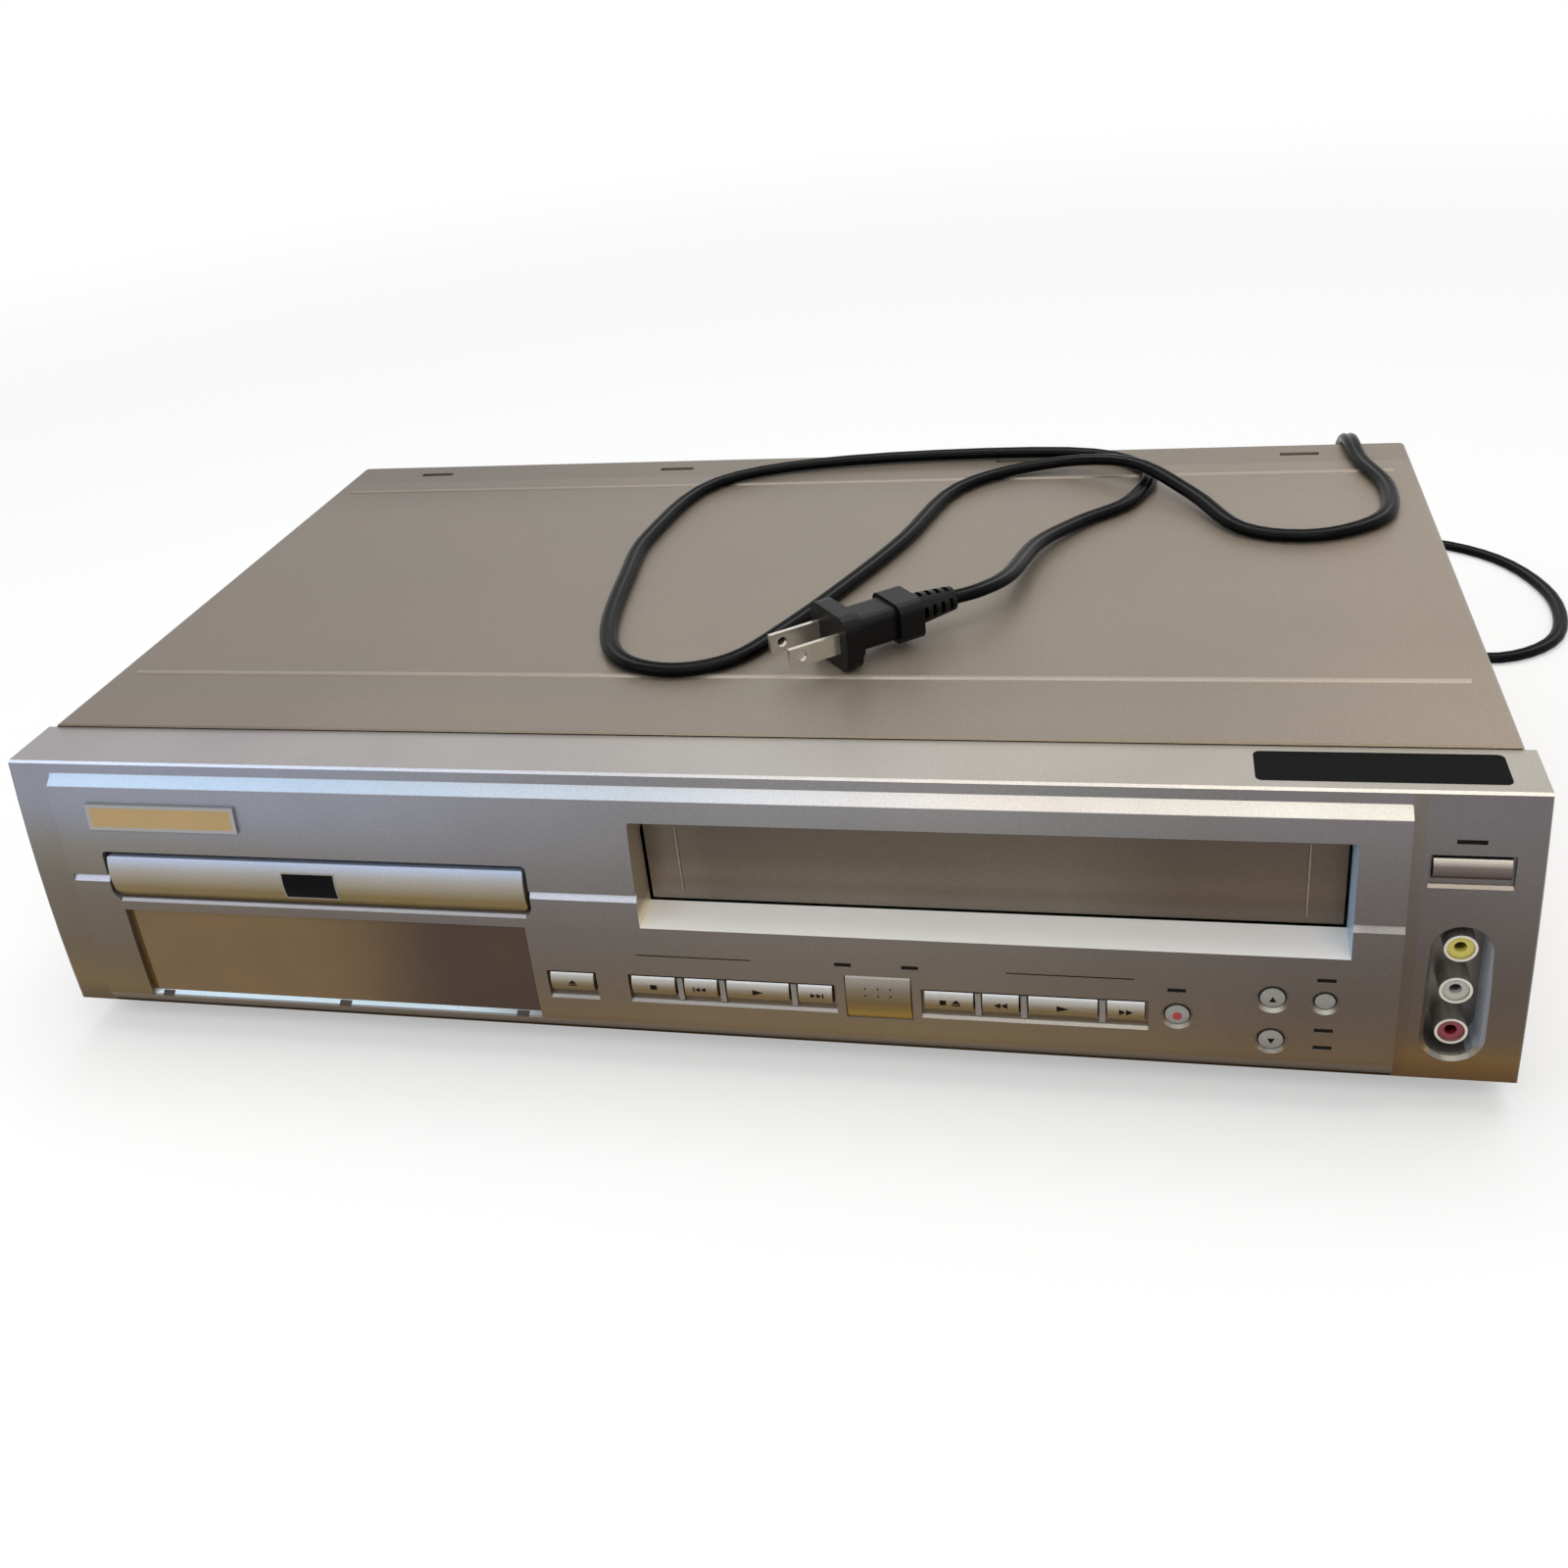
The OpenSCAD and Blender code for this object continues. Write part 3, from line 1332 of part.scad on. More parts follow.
module guide_post(s) {
    z = deck_top + fit;
    color([0.78, 0.78, 0.80])
        translate([deck_x + s * guide_x0, y_face + guide_d0, 0]) {
            difference() {
                translate([-5, -7, z])
                    cube([10, 14, 4]);
                rotate([0, 0, 45])
                    translate([7, -10, z - 1])
                        cube([10, 20, 7]);
            }
            translate([0, -1, z])
                cylinder(h = 24, r = 2.2);
            for (k = [0, 1])
                translate([0, -1, z + 4 + k * 19])
                    cylinder(h = 1.2, r = 3.4);
            translate([s * 1, 4.4, z])
                cylinder(h = 18, r = 1);
            translate([0, 0, deck_z - 1.6])
                cylinder(h = deck_t + 3, r = guide_slot_w / 2 - fit);
            translate([0, 0, deck_z - 1.6])
                cylinder(h = 1.3, r = 4.5);
        }
}

module guide_post_left() { guide_post(-1); }
module guide_post_right() { guide_post(1); }

module tape_heads() {
    color([0.6, 0.6, 0.62]) {
        // Full erase head
        block([deck_x - 67, deck_x - 57], [heads_d, heads_d + 10], [deck_top + 0.05, deck_top + 3]);
        block([deck_x - 65, deck_x - 59], [heads_d + 1, heads_d + 8], [deck_top + 2.9, deck_top + 24]);
        // Audio and control head on its adjusting plate
        block([deck_x + 53.5, deck_x + 69], [heads_d + 2, heads_d + 18], [deck_top + 0.05, deck_top + 3]);
        block([deck_x + 55, deck_x + 66], [heads_d + 3, heads_d + 12], [deck_top + 2.9, deck_top + 26]);
        post(deck_x + 66, heads_d + 15.4, deck_top + 2.9, deck_top + 12, 1.6);
    }
}

module loading_motor() {
    x = deck_x - 86;
    z = deck_top + 13.5;
    color(steel) {
        rod_y(x, z, 188, 216, 12);
        block([x - 13, x + 13], [186.6, 188.1], [deck_top + 0.05, z + 12]);
        block([x - 13, x + 13], [174, 188.1], [deck_top + 0.05, deck_top + 1.5]);
        rod_y(x, z, 170, 187, 1.2);
    }
    color([0.9, 0.9, 0.86])
        rod_y(x, z, 171, 184, 3.4);
}

// ---------------------------------------------------------------- boards and sockets

board_z = floor_z + 5;

module main_board() {
    color(board_green) {
        difference() {
            block([-206, -38], [34, rear_d - 3.2], [board_z, board_z + board_t]);
            for (x = [loader_x0 + 5, loader_x1 - 5], d = leg_d)
                post(x, d, board_z - 1, board_z + 3, 5);
        }
        for (x = [-200, -44], d = [42, 150, rear_d - 11.2])
            post(x, d, floor_z, board_z + eps, 3);
    }
    color(dark) {
        block([-160, -132], [80, 108], [board_z + 1.5, board_z + 4]);
        block([-110, -96], [60, 82], [board_z + 1.5, board_z + 4]);
        block([-112, -90], [120, 132], [board_z + 1.5, board_z + 4]);
    }
    color([0.2, 0.22, 0.35])
        for (p = [[-190, 60], [-176, 60], [-80, 100], [-66, 100], [-80, 160], [-180, 140]])
            post(p[0], p[1], board_z + 1.5, board_z + 16, 4.5);
    // Heat sink with fins
    color([0.7, 0.7, 0.7])
        difference() {
            block([-150, -110], [200, 216], [board_z + 1.5, board_z + 28]);
            for (k = [0:6])
                block([-147 + 5.4 * k, -144 + 5.4 * k], [199, 212], [board_z + 4, board_z + 30]);
        }
}

module power_supply() {
    d0 = rear_d - 30.7;
    color(board_green) {
        block([96, 208], [d0, d0 + 28.5], [board_z, board_z + board_t]);
        for (x = [100, 204])
            post(x, d0 + 13.5, floor_z, board_z + eps, 3);
    }
    color([0.75, 0.68, 0.25])
        block([172, 204], [d0 + 2, d0 + 26], [board_z + 4, board_z + 26]);
    color(dark) {
        block([178, 198], [d0 + 1, d0 + 27], [board_z + 1.5, board_z + 28]);
        for (x = [106, 124])
            post(x, d0 + 14, board_z + 1.5, board_z + 26, 8);
    }
    color([0.7, 0.7, 0.7])
        block([136, 164], [d0 + 3, d0 + 5], [board_z + 1.5, board_z + 34]);
}

module rear_jack_block() {
    x0 = rear_jack_x[0] - 9;
    x1 = rear_jack_x[3] + 9;
    color(dark) {
        difference() {
            block([x0, x1], [rear_d - 13.2, rear_d - 0.1],
                [board_z + board_t + 0.1, rear_jack_z[2] + 10]);
            for (x = rear_jack_x, z = rear_jack_z)
                rod_y(x, z, rear_d - 9.2, case_d, 1.6);
        }
    }
    // Collars and shells of the sockets
    color([0.8, 0.78, 0.74])
        for (x = rear_jack_x, z = rear_jack_z)
            difference() {
                rod_y(x, z, rear_d - 0.2, case_d + jack_out, jack_dia / 2);
                rod_y(x, z, rear_d - 1, case_d + jack_out + 1, jack_dia / 2 - 0.8);
            }
    for (x = rear_jack_x, z = rear_jack_z)
        color([0.9, 0.9, 0.88])
            difference() {
                rod_y(x, z, rear_d - 0.2, case_d + jack_out - 1, jack_dia / 2 - 0.7);
                rod_y(x, z, rear_d - 1, case_d + jack_out + 1, 1.6);
            }
    // Tuner can with the two aerial sockets
    color(steel)
        difference() {
            union() {
                block([rf_x[0] - 12, rf_x[1] + 12], [rear_d - 39.2, rear_d - 0.1],
                    [board_z + board_t + 0.1, rf_z + 18]);
                for (x = rf_x)
                    rod_y(x, rf_z, rear_d - 0.2, case_d + jack_out - 1, 4.8);
            }
            for (x = rf_x)
                rod_y(x, rf_z, case_d - 1, case_d + jack_out + 1, 1.2);
        }
}

// ---------------------------------------------------------------- mains cord

module strain_relief() {
    color(dark)
        translate([relief_x, y_rear, relief_z])
            rotate([-90, 0, 0])
                rotate_extrude()
                    polygon(concat([[0, -4], [7, -4], [7, -sheet_t - 0.15], [5, -sheet_t - 0.15],
                        [5, 0.15], [7.5, 0.15], [7.5, 2.4]],
                        [for (k = [0:4]) each [[6 - 0.4 * k, 2.6 + 4 * k], [6 - 0.4 * k, 5 + 4 * k],
                            [4.6 - 0.3 * k, 5 + 4 * k], [4.6 - 0.3 * k, 6.6 + 4 * k]]],
                        [[3.6, 22.8], [3.4, relief_len], [0, relief_len]]));
}

// The route as a smooth curve through its points
function route_at(i, t) =
    let (n = len(route) - 1, a = route[max(i - 1, 0)], b = route[i], c = route[min(i + 1, n)],
         d = route[min(i + 2, n)])
        0.5 * (2 * b + (c - a) * t + (2 * a - 5 * b + 4 * c - d) * t * t
            + (3 * b - a - 3 * c + d) * t * t * t);
cord_path = concat([for (i = [0:len(route) - 2], t = [0, 0.5]) route_at(i, t)],
    [route[len(route) - 1]]);
cord_sides = 8;

module power_cord() {
    n = len(cord_path);
    rings = [for (i = [0:n - 1])
        let (t = cord_path[min(i + 1, n - 1)] - cord_path[max(i - 1, 0)], u = t / norm(t),
             flat_len = max(norm([u[0], u[1]]), 0.001), side = [u[1], -u[0], 0] / flat_len,
             up = cross(side, u))
            [for (k = [0:cord_sides - 1])
                cord_path[i] + side * (cord_w / 2 * cos(360 / cord_sides * (k + 0.5)))
                    + up * (cord_t / 2 / cos(180 / cord_sides) * sin(360 / cord_sides * (k + 0.5)))]];
    color([0.05, 0.05, 0.05])
        polyhedron(
            points = [for (r = rings, p = r) p],
            faces = concat(
                [[for (k = [cord_sides - 1:-1:0]) k]],
                [[for (k = [0:cord_sides - 1]) (n - 1) * cord_sides + k]],
                [for (i = [0:n - 2], k = [0:cord_sides - 1], h = [0, 1])
                    let (a = i * cord_sides + k, b = i * cord_sides + (k + 1) % cord_sides)
                        h == 0 ? [a, b + cord_sides, a + cord_sides] : [a, b, b + cord_sides]]));
}

module at_plug() {
    translate(plug_at)
        rotate([0, 0, plug_turn])
            children();
}

// A length of the plug with round corners: half width, half height, corner
module plug_part(x0, x1, w, h, corner) {
    rotate([90, 0, 90])
        translate([0, 0, x0])
            linear_extrude(x1 - x0)
                rounded([-w, w], [-h, h], corner, corner);
}

module power_plug() {
    w0 = plug_relief_len;
    w1 = w0 + plug_body_len;
    color(dark)
        at_plug() {
            // Sleeve over the cord with rows of slots
            difference() {
                rotate([0, 90, 0])
                    rotate_extrude()
                        polygon([[0, 0.1], [3.9, 0.1], [5.4, w0 + 0.5], [0, w0 + 0.5]]);
                for (k = [0:3], a = [0:90:270])
                    rotate([a, 0, 0])
                        translate([1.8 + 3.2 * k, -1.9, 3])
                            cube([1.4, 3.8, 5]);
            }
            // Rear grip, waist and the guard in front of the hand
            plug_part(w0, w0 + 8.5, 8.5, 6.5, 3);
            plug_part(w0 + 8, w1 - 6, 6.6, 5.6, 2.5);
            plug_part(w1 - 7.5, w1 - 5, 8.8, 7.2, 3.5);
            plug_part(w1 - 5.5, w1, 11, 8.8, 4);
        }
}

module plug_blades() {
    x0 = plug_relief_len + plug_body_len + 0.05;
    color([0.78, 0.76, 0.70])
        at_plug()
            for (s = [-1, 1])
                difference() {
                    translate([x0, s * 6.35 - 0.75, -3.15])
                        cube([blade_len, 1.5, 6.3]);
                    translate([x0 + blade_len - 4, s * 6.35 + 2, 0])
                        rotate([90, 0, 0])
                            cylinder(h = 4, r = 1.6);
                }
}

bottom_pan();
top_cover();
case_screws();
front_bezel();
rear_panel();
feet();
display_window();
display_module();
indicator_lenses();
badge_plate();
button_board();
front_jack_shells();
front_jack_inserts();
power_button();
open_close_button();
dvd_stop_button();
skip_back_button();
dvd_play_button();
skip_forward_button();
output_button();
vcr_stop_eject_button();
rewind_button();
vcr_play_button();
fast_forward_button();
record_button();
channel_up_button();
channel_down_button();
timer_button();
loader_frame();
disc_tray();
tray_front();
tray_gear();
clamp_bridge();
clamp_disc();
turntable();
optical_sled();
traverse_plate();
deck_plate();
side_brackets();
cassette_holder();
cassette_door();
lower_drum();
upper_drum();
supply_reel();
takeup_reel();
capstan_bearing();
capstan_flywheel();
pinch_arm();
pinch_roller();
guide_post_left();
guide_post_right();
tape_heads();
loading_motor();
main_board();
power_supply();
rear_jack_block();
strain_relief();
power_cord();
power_plug();
plug_blades();
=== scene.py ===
"""Looks, light and camera for a disc player and video cassette recorder.

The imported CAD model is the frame. This script gives each CAD node its material, and adds
the printed marks, bare plates, silver trim and the mains cord.
"""
import math

import bmesh
import bpy
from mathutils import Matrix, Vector
from mathutils.bvhtree import BVHTree


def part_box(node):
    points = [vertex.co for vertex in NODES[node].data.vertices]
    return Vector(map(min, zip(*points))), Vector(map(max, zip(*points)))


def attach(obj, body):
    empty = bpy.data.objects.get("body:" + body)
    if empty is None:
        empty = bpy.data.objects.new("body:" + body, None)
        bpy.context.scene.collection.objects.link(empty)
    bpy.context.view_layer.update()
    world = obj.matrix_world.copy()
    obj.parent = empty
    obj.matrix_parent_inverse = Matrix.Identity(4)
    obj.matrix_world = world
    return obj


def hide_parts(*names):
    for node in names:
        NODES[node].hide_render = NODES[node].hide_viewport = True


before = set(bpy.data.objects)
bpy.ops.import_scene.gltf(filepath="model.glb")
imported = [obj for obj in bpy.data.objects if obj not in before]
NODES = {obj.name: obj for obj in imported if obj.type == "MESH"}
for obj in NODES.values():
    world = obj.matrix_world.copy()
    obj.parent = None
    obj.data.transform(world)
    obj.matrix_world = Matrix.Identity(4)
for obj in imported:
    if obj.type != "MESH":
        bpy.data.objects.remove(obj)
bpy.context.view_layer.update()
MM = 0.001
X, Y, Z = 0, 1, 2               # places of the axes in a vector


def extent(node, axis):
    """A node's lowest and highest coordinate along an axis, in mm."""
    low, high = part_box(node)
    return low[axis] / MM, high[axis] / MM


def near(edge, start, end):
    """Two places in metres, given in mm from an edge that is in mm too."""
    return (edge + start) * MM, (edge + end) * MM


def span(node, axis, start, end):
    """A node's extent in metres, with each end moved by so many mm."""
    low, high = extent(node, axis)
    return (low + start) * MM, (high + end) * MM


# ---------------------------------------------------------------- camera
PHOTO = 1600                    # side of the square picture, pixels
FOCAL_PX = 1638.5               # focal length, pixels
PRINCIPAL_PX = (780.2, 717.4)   # where the lens axis meets the picture
SENSOR = 36.0                   # width, mm
CAMERA_AT = Vector((120.7, -492.4, 317.5)) * MM
RIGHT = Vector((0.973, 0.2082, -0.1))                   # the picture's right
AHEAD = Vector((-0.2307, 0.8568, -0.4611))              # the line of sight


def make_camera():
    """The camera at the photograph's place, with its shift for the off-centre lens axis."""
    data = bpy.data.cameras.new("camera")
    data.sensor_width = SENSOR
    data.lens = SENSOR * FOCAL_PX / PHOTO
    data.shift_x = (PHOTO / 2 - PRINCIPAL_PX[0]) / PHOTO
    data.shift_y = (PRINCIPAL_PX[1] - PHOTO / 2) / PHOTO
    data.clip_start, data.clip_end = 0.01, 50
    camera = bpy.data.objects.new("camera", data)
    ahead = AHEAD.normalized()
    right = (RIGHT - ahead * RIGHT.dot(ahead)).normalized()
    up = right.cross(ahead)
    matrix = camera.matrix_world.to_3x3()
    for k in range(3):
        matrix[k] = (right[k], up[k], -ahead[k])
    camera.matrix_world = matrix.to_4x4()
    camera.location = CAMERA_AT
    bpy.context.scene.collection.objects.link(camera)
    bpy.context.scene.camera = camera


# ---------------------------------------------------------------- places on the front
FACE_Y = extent("front_bezel", Y)[0]                    # the foremost plane of the bezel, mm
BEZEL_FOOT, BEZEL_TOP = extent("front_bezel", Z)        # mm
PANEL_RIGHT = extent("front_bezel", X)[1] - 32.0        # where the raised panel ends, mm
# All below are in metres
INNER_X = span("front_bezel", X, 0.5, -0.5)             # the bezel without its outer sides
CHAMFER_X = span("front_bezel", X, 13.5, -32.3)         # along the panel's top
CHAMFER_Z = near(BEZEL_TOP, -6.2, -3.8)
TOP_EDGE_Z = near(BEZEL_TOP, -2.9, -1.9)
CHIN_Z = near(BEZEL_FOOT, 9.0, 5.5)
STRIP_X = near(PANEL_RIGHT, -2.0, 4.0)                  # the strip at the right begins here
PANEL_END_X = near(PANEL_RIGHT, 0.2, 3.2)               # the slope at the panel's end
GROOVE_Z = near(extent("tray_front", Z)[1], -10.0, -4.5)
DRAWER_LIP_Z = near(extent("tray_front", Z)[0], -4.3, 2.2)
POWER_LEDGE_Z = near(extent("power_button", Z)[0], -3.1, 0.9)
WINDOW_SHELF_Z = near(extent("display_window", Z)[0], -1.0, -0.8)
SLOT_X = span("cassette_door", X, 3.0, -2.9)            # the cassette slot's sill
SILL_Z = near(extent("cassette_door", Z)[0], -2.6, 0.1)
SLOT_WALL_Z = span("cassette_door", Z, -3.1, -2.3)      # the slot's two side walls
LEFT_WALL_X = near(extent("cassette_door", X)[0], 1.0, 6.0)
RIGHT_WALL_X = near(extent("cassette_door", X)[1], -5.4, -0.4)
CUP_X = span("front_jack_shells", X, -3.15, 3.15)       # the recess round the sockets
CUP_Z = span("front_jack_shells", Z, -4.85, 4.85)
CUP_WALL_X = near(extent("front_jack_shells", X)[1], -1.65, 3.85)   # its right wall
CUP_Y = near(FACE_Y, 4.8, 5.8)                          # the painted shade in the recess sets in between these


# ---------------------------------------------------------------- materials
WHITE = (1.0, 1.0, 1.0)         # a tint that changes nothing
SHARP, CLOSE, SOFT = 0.3 * MM, 0.5 * MM, 1.0 * MM      # widths of the edges of a mask


def linear(colour):
    """A colour given as 0 to 255 on screen, as the renderer's linear values."""
    out = []
    for c in colour:
        c /= 255
        out.append(c / 12.92 if c <= 0.04045 else ((c + 0.055) / 1.055) ** 2.4)
    return (*out, 1.0)


class Finish:
    """A procedural material: layers of colour on object coordinates, with grain and bump."""
    PATCH_SCALE = 18.0          # of the broad, faint patches
    NOISE_RANGE = (0.3, 0.7)    # the part of a noise's values that is used
    ROUGH_SPREAD = 0.05
    BUMP_DEPTH = 0.4 * MM

    def __init__(self, name, colour, rough=0.45, metal=0.0, grain=900.0, speckle=0.06,
                 bump=0.03, coat=0.0, coat_rough=0.15, specular=0.5, patches=0.05):
        self.material = bpy.data.materials.new(name)
        self.material.use_nodes = True
        self.tree = self.material.node_tree
        self.shader = self.tree.nodes["Principled BSDF"]
        self.place = self.tree.nodes.new("ShaderNodeTexCoord")
        self.shader.inputs["Metallic"].default_value = metal
        self.shader.inputs["Coat Weight"].default_value = coat
        self.shader.inputs["Coat Roughness"].default_value = coat_rough
        self.shader.inputs["Specular IOR Level"].default_value = specular
        fine = self.noise(grain, detail=3)
        broad = self.noise(self.PATCH_SCALE, detail=2)
        self.colour = self.mix("MIX", self.ramp(fine, *self.NOISE_RANGE),
                               self.scaled(colour, 1 - speckle), self.scaled(colour, 1 + speckle))
        self.tint(self.ramp(broad, *self.NOISE_RANGE), (1 + patches,) * 3, (1 - patches,) * 3)
        rough_range = self.tree.nodes.new("ShaderNodeMapRange")
        rough_range.inputs["To Min"].default_value = max(rough - self.ROUGH_SPREAD, 0.02)
        rough_range.inputs["To Max"].default_value = min(rough + self.ROUGH_SPREAD, 1)
        self.tree.links.new(broad, rough_range.inputs["Value"])
        self.tree.links.new(rough_range.outputs[0], self.shader.inputs["Roughness"])
        if bump:
            node = self.tree.nodes.new("ShaderNodeBump")
            node.inputs["Strength"].default_value = bump
            node.inputs["Distance"].default_value = self.BUMP_DEPTH
            self.tree.links.new(fine, node.inputs["Height"])
            self.tree.links.new(node.outputs[0], self.shader.inputs["Normal"])

    @staticmethod
    def scaled(colour, factor):
        return tuple(min(c * factor, 1) for c in linear(colour)[:3]) + (1,)

    def noise(self, scale, detail):
        node = self.tree.nodes.new("ShaderNodeTexNoise")
        node.inputs["Scale"].default_value = scale
        node.inputs["Detail"].default_value = detail
        self.tree.links.new(self.place.outputs["Object"], node.inputs["Vector"])
        return node.outputs["Fac"]

    # Masks: values from 0 to 1
    def ramp(self, value, start, full, kind="SMOOTHSTEP"):
        """0 where a value is at start, rising to 1 at full, which may be the lower of the two."""
        node = self.tree.nodes.new("ShaderNodeMapRange")
        node.interpolation_type = kind
        node.inputs["From Min"].default_value = start
        node.inputs["From Max"].default_value = full
        self.tree.links.new(value, node.inputs["Value"])
        return node.outputs[0]

    def axis(self, index, space="Object"):
        node = self.tree.nodes.new("ShaderNodeSeparateXYZ")
        self.tree.links.new(self.place.outputs[space], node.inputs[0])
        return node.outputs[index]

    def along(self, index, start, full, kind="SMOOTHSTEP"):
        """A ramp between two coordinates along an axis, in metres."""
        return self.ramp(self.axis(index), start, full, kind)

    def facing(self, index, start, full):
        """A ramp between two components of the surface's normal."""
        return self.ramp(self.axis(index, "Normal"), start, full)

    def within(self, index, low, high, soft, space="Object"):
        """1 between two coordinates along an axis, fading to 0 over a soft edge."""
        value = self.axis(index, space)
        return self.times(self.ramp(value, low - soft, low), self.ramp(value, high + soft, high))

    def times(self, *masks):
        out = masks[0]
        for mask in masks[1:]:
            node = self.tree.nodes.new("ShaderNodeMath")
            node.operation = "MULTIPLY"
            self.tree.links.new(out, node.inputs[0])
            self.tree.links.new(mask, node.inputs[1])
            out = node.outputs[0]
        return out

    # Layers on the colour so far
    def mix(self, kind, factor, a, b):
        node = self.tree.nodes.new("ShaderNodeMix")
        node.data_type = "RGBA"
        node.blend_type = kind
        sockets = {s.name: s for s in node.inputs if s.type == "RGBA"}
        for name, value in (("A", a), ("B", b)):
            if isinstance(value, tuple):
                sockets[name].default_value = value
            else:
                self.tree.links.new(value, sockets[name])
        if isinstance(factor, float):
            node.inputs["Factor"].default_value = factor
        else:
            self.tree.links.new(factor, node.inputs["Factor"])
        return next(s for s in node.outputs if s.type == "RGBA")

    def use(self, colour):
        self.colour = colour
        self.tree.links.new(colour, self.shader.inputs["Base Color"])

    def tint(self, where, colour, elsewhere=WHITE):
        """Multiplies the colour so far by one tint where the mask is 1 and another where it is 0."""
        tone = self.mix("MIX", where, (*elsewhere, 1.0), (*colour, 1.0))
        self.use(self.mix("MULTIPLY", 1.0, self.colour, tone))

    def over(self, where, colour):
        """Lays a colour over what is there, where the mask is 1."""
        self.use(self.mix("MIX", where, self.colour, linear(colour)))

    def profile(self, where, index, stops, space="Object"):
        """Multiplies the colour by stops of (place, tint) along an axis, where the mask is 1."""
        low, high = stops[0][0], stops[-1][0]
        node = self.tree.nodes.new("ShaderNodeValToRGB")
        points = node.color_ramp.elements
        points[0].color, points[1].color = (*stops[0][1], 1.0), (*stops[-1][1], 1.0)
        for place, colour in stops[1:-1]:
            points.new((place - low) / (high - low)).color = (*colour, 1.0)
        self.tree.links.new(self.ramp(self.axis(index, space), low, high, "LINEAR"), node.inputs[0])
        tone = self.mix("MIX", where, (*WHITE, 1.0), node.outputs[0])
        self.use(self.mix("MULTIPLY", 1.0, self.colour, tone))

    def change(self, name, where, value):
        """Gives one of the shader's inputs another value where the mask is 1."""
        socket = self.shader.inputs[name]
        node = self.tree.nodes.new("ShaderNodeMapRange")
        if socket.is_linked:
            self.tree.links.new(socket.links[0].from_socket, node.inputs["To Min"])
        else:
            node.inputs["To Min"].default_value = socket.default_value
        node.inputs["To Max"].default_value = value
        self.tree.links.new(where, node.inputs["Value"])
        self.tree.links.new(node.outputs[0], socket)


def dress(nodes, finish):
    for name in nodes.split():
        NODES[name].data.materials.clear()
        NODES[name].data.materials.append(finish.material)


def tone_faces(f):
    """The bezel's upright faces, with painted light and shade: bluish painted light high up at the
    left, brownish painted shade low down and at the right.
    """
    level = f.times(f.facing(Z, 0.6, 0.28), f.within(X, *INNER_X, 0.4 * MM))
    strip = f.along(X, *STRIP_X)
    left = f.along(X, 0.0, -0.13)
    # Painted brownish shade, deeper towards the foot
    f.tint(f.times(level, f.along(Z, 0.08, 0.006)), (0.76, 0.52, 0.30))
    # Painted bands of light and shade from the foot up
    f.profile(level, Z, ((0.008, (0.35, 0.27, 0.14)), (0.0115, (0.75, 0.68, 0.48)),
                         (0.019, (1.20, 1.18, 0.90)), (0.030, (0.96, 0.93, 0.86)),
                         (0.039, (0.83, 0.82, 0.80)), (0.050, (0.81, 0.78, 0.76)),
                         (0.070, (0.93, 0.91, 0.89)), (0.082, (1.08, 1.08, 1.10)),
                         (0.090, (1.16, 1.18, 1.22))))
    # Painted shade at the right, then painted bluish light at the left high up and painted warm shade
    # there low down
    f.tint(f.times(level, f.along(X, 0.06, 0.17)), (0.74, 0.70, 0.74))
    f.tint(f.times(level, left, f.along(Z, 0.055, 0.090)), (1.28, 1.37, 1.50))
    f.tint(f.times(level, left, f.along(Z, 0.045, 0.030)), (0.88, 0.89, 0.80))
    f.tint(f.times(level, f.along(X, -0.06, -0.20), f.within(Z, 0.020, 0.070, 12 * MM)),
           (1.04, 1.0, 0.80))
    # Painted shade on the strip at the right and on the panel's end beside it
    f.tint(f.times(level, strip), (0.88, 0.86, 0.86))
    f.tint(f.times(level, f.within(X, *PANEL_END_X, CLOSE)), (1.0, 0.93, 0.80))
    # Painted dark shade where the bezel curves under and looks down on the table, with metal and
    # gloss turned off there
    chin_shade = f.times(f.facing(Z, 0.0, -0.3), f.along(Z, *CHIN_Z))
    f.over(chin_shade, (66, 48, 26))
    f.change("Metallic", chin_shade, 0.0)
    f.change("Specular IOR Level", chin_shade, 0.0)
    # Painted warm light low down on the strip at the right
    f.tint(f.times(level, strip, f.along(Z, 0.028, 0.014)), (1.45, 1.20, 0.52))


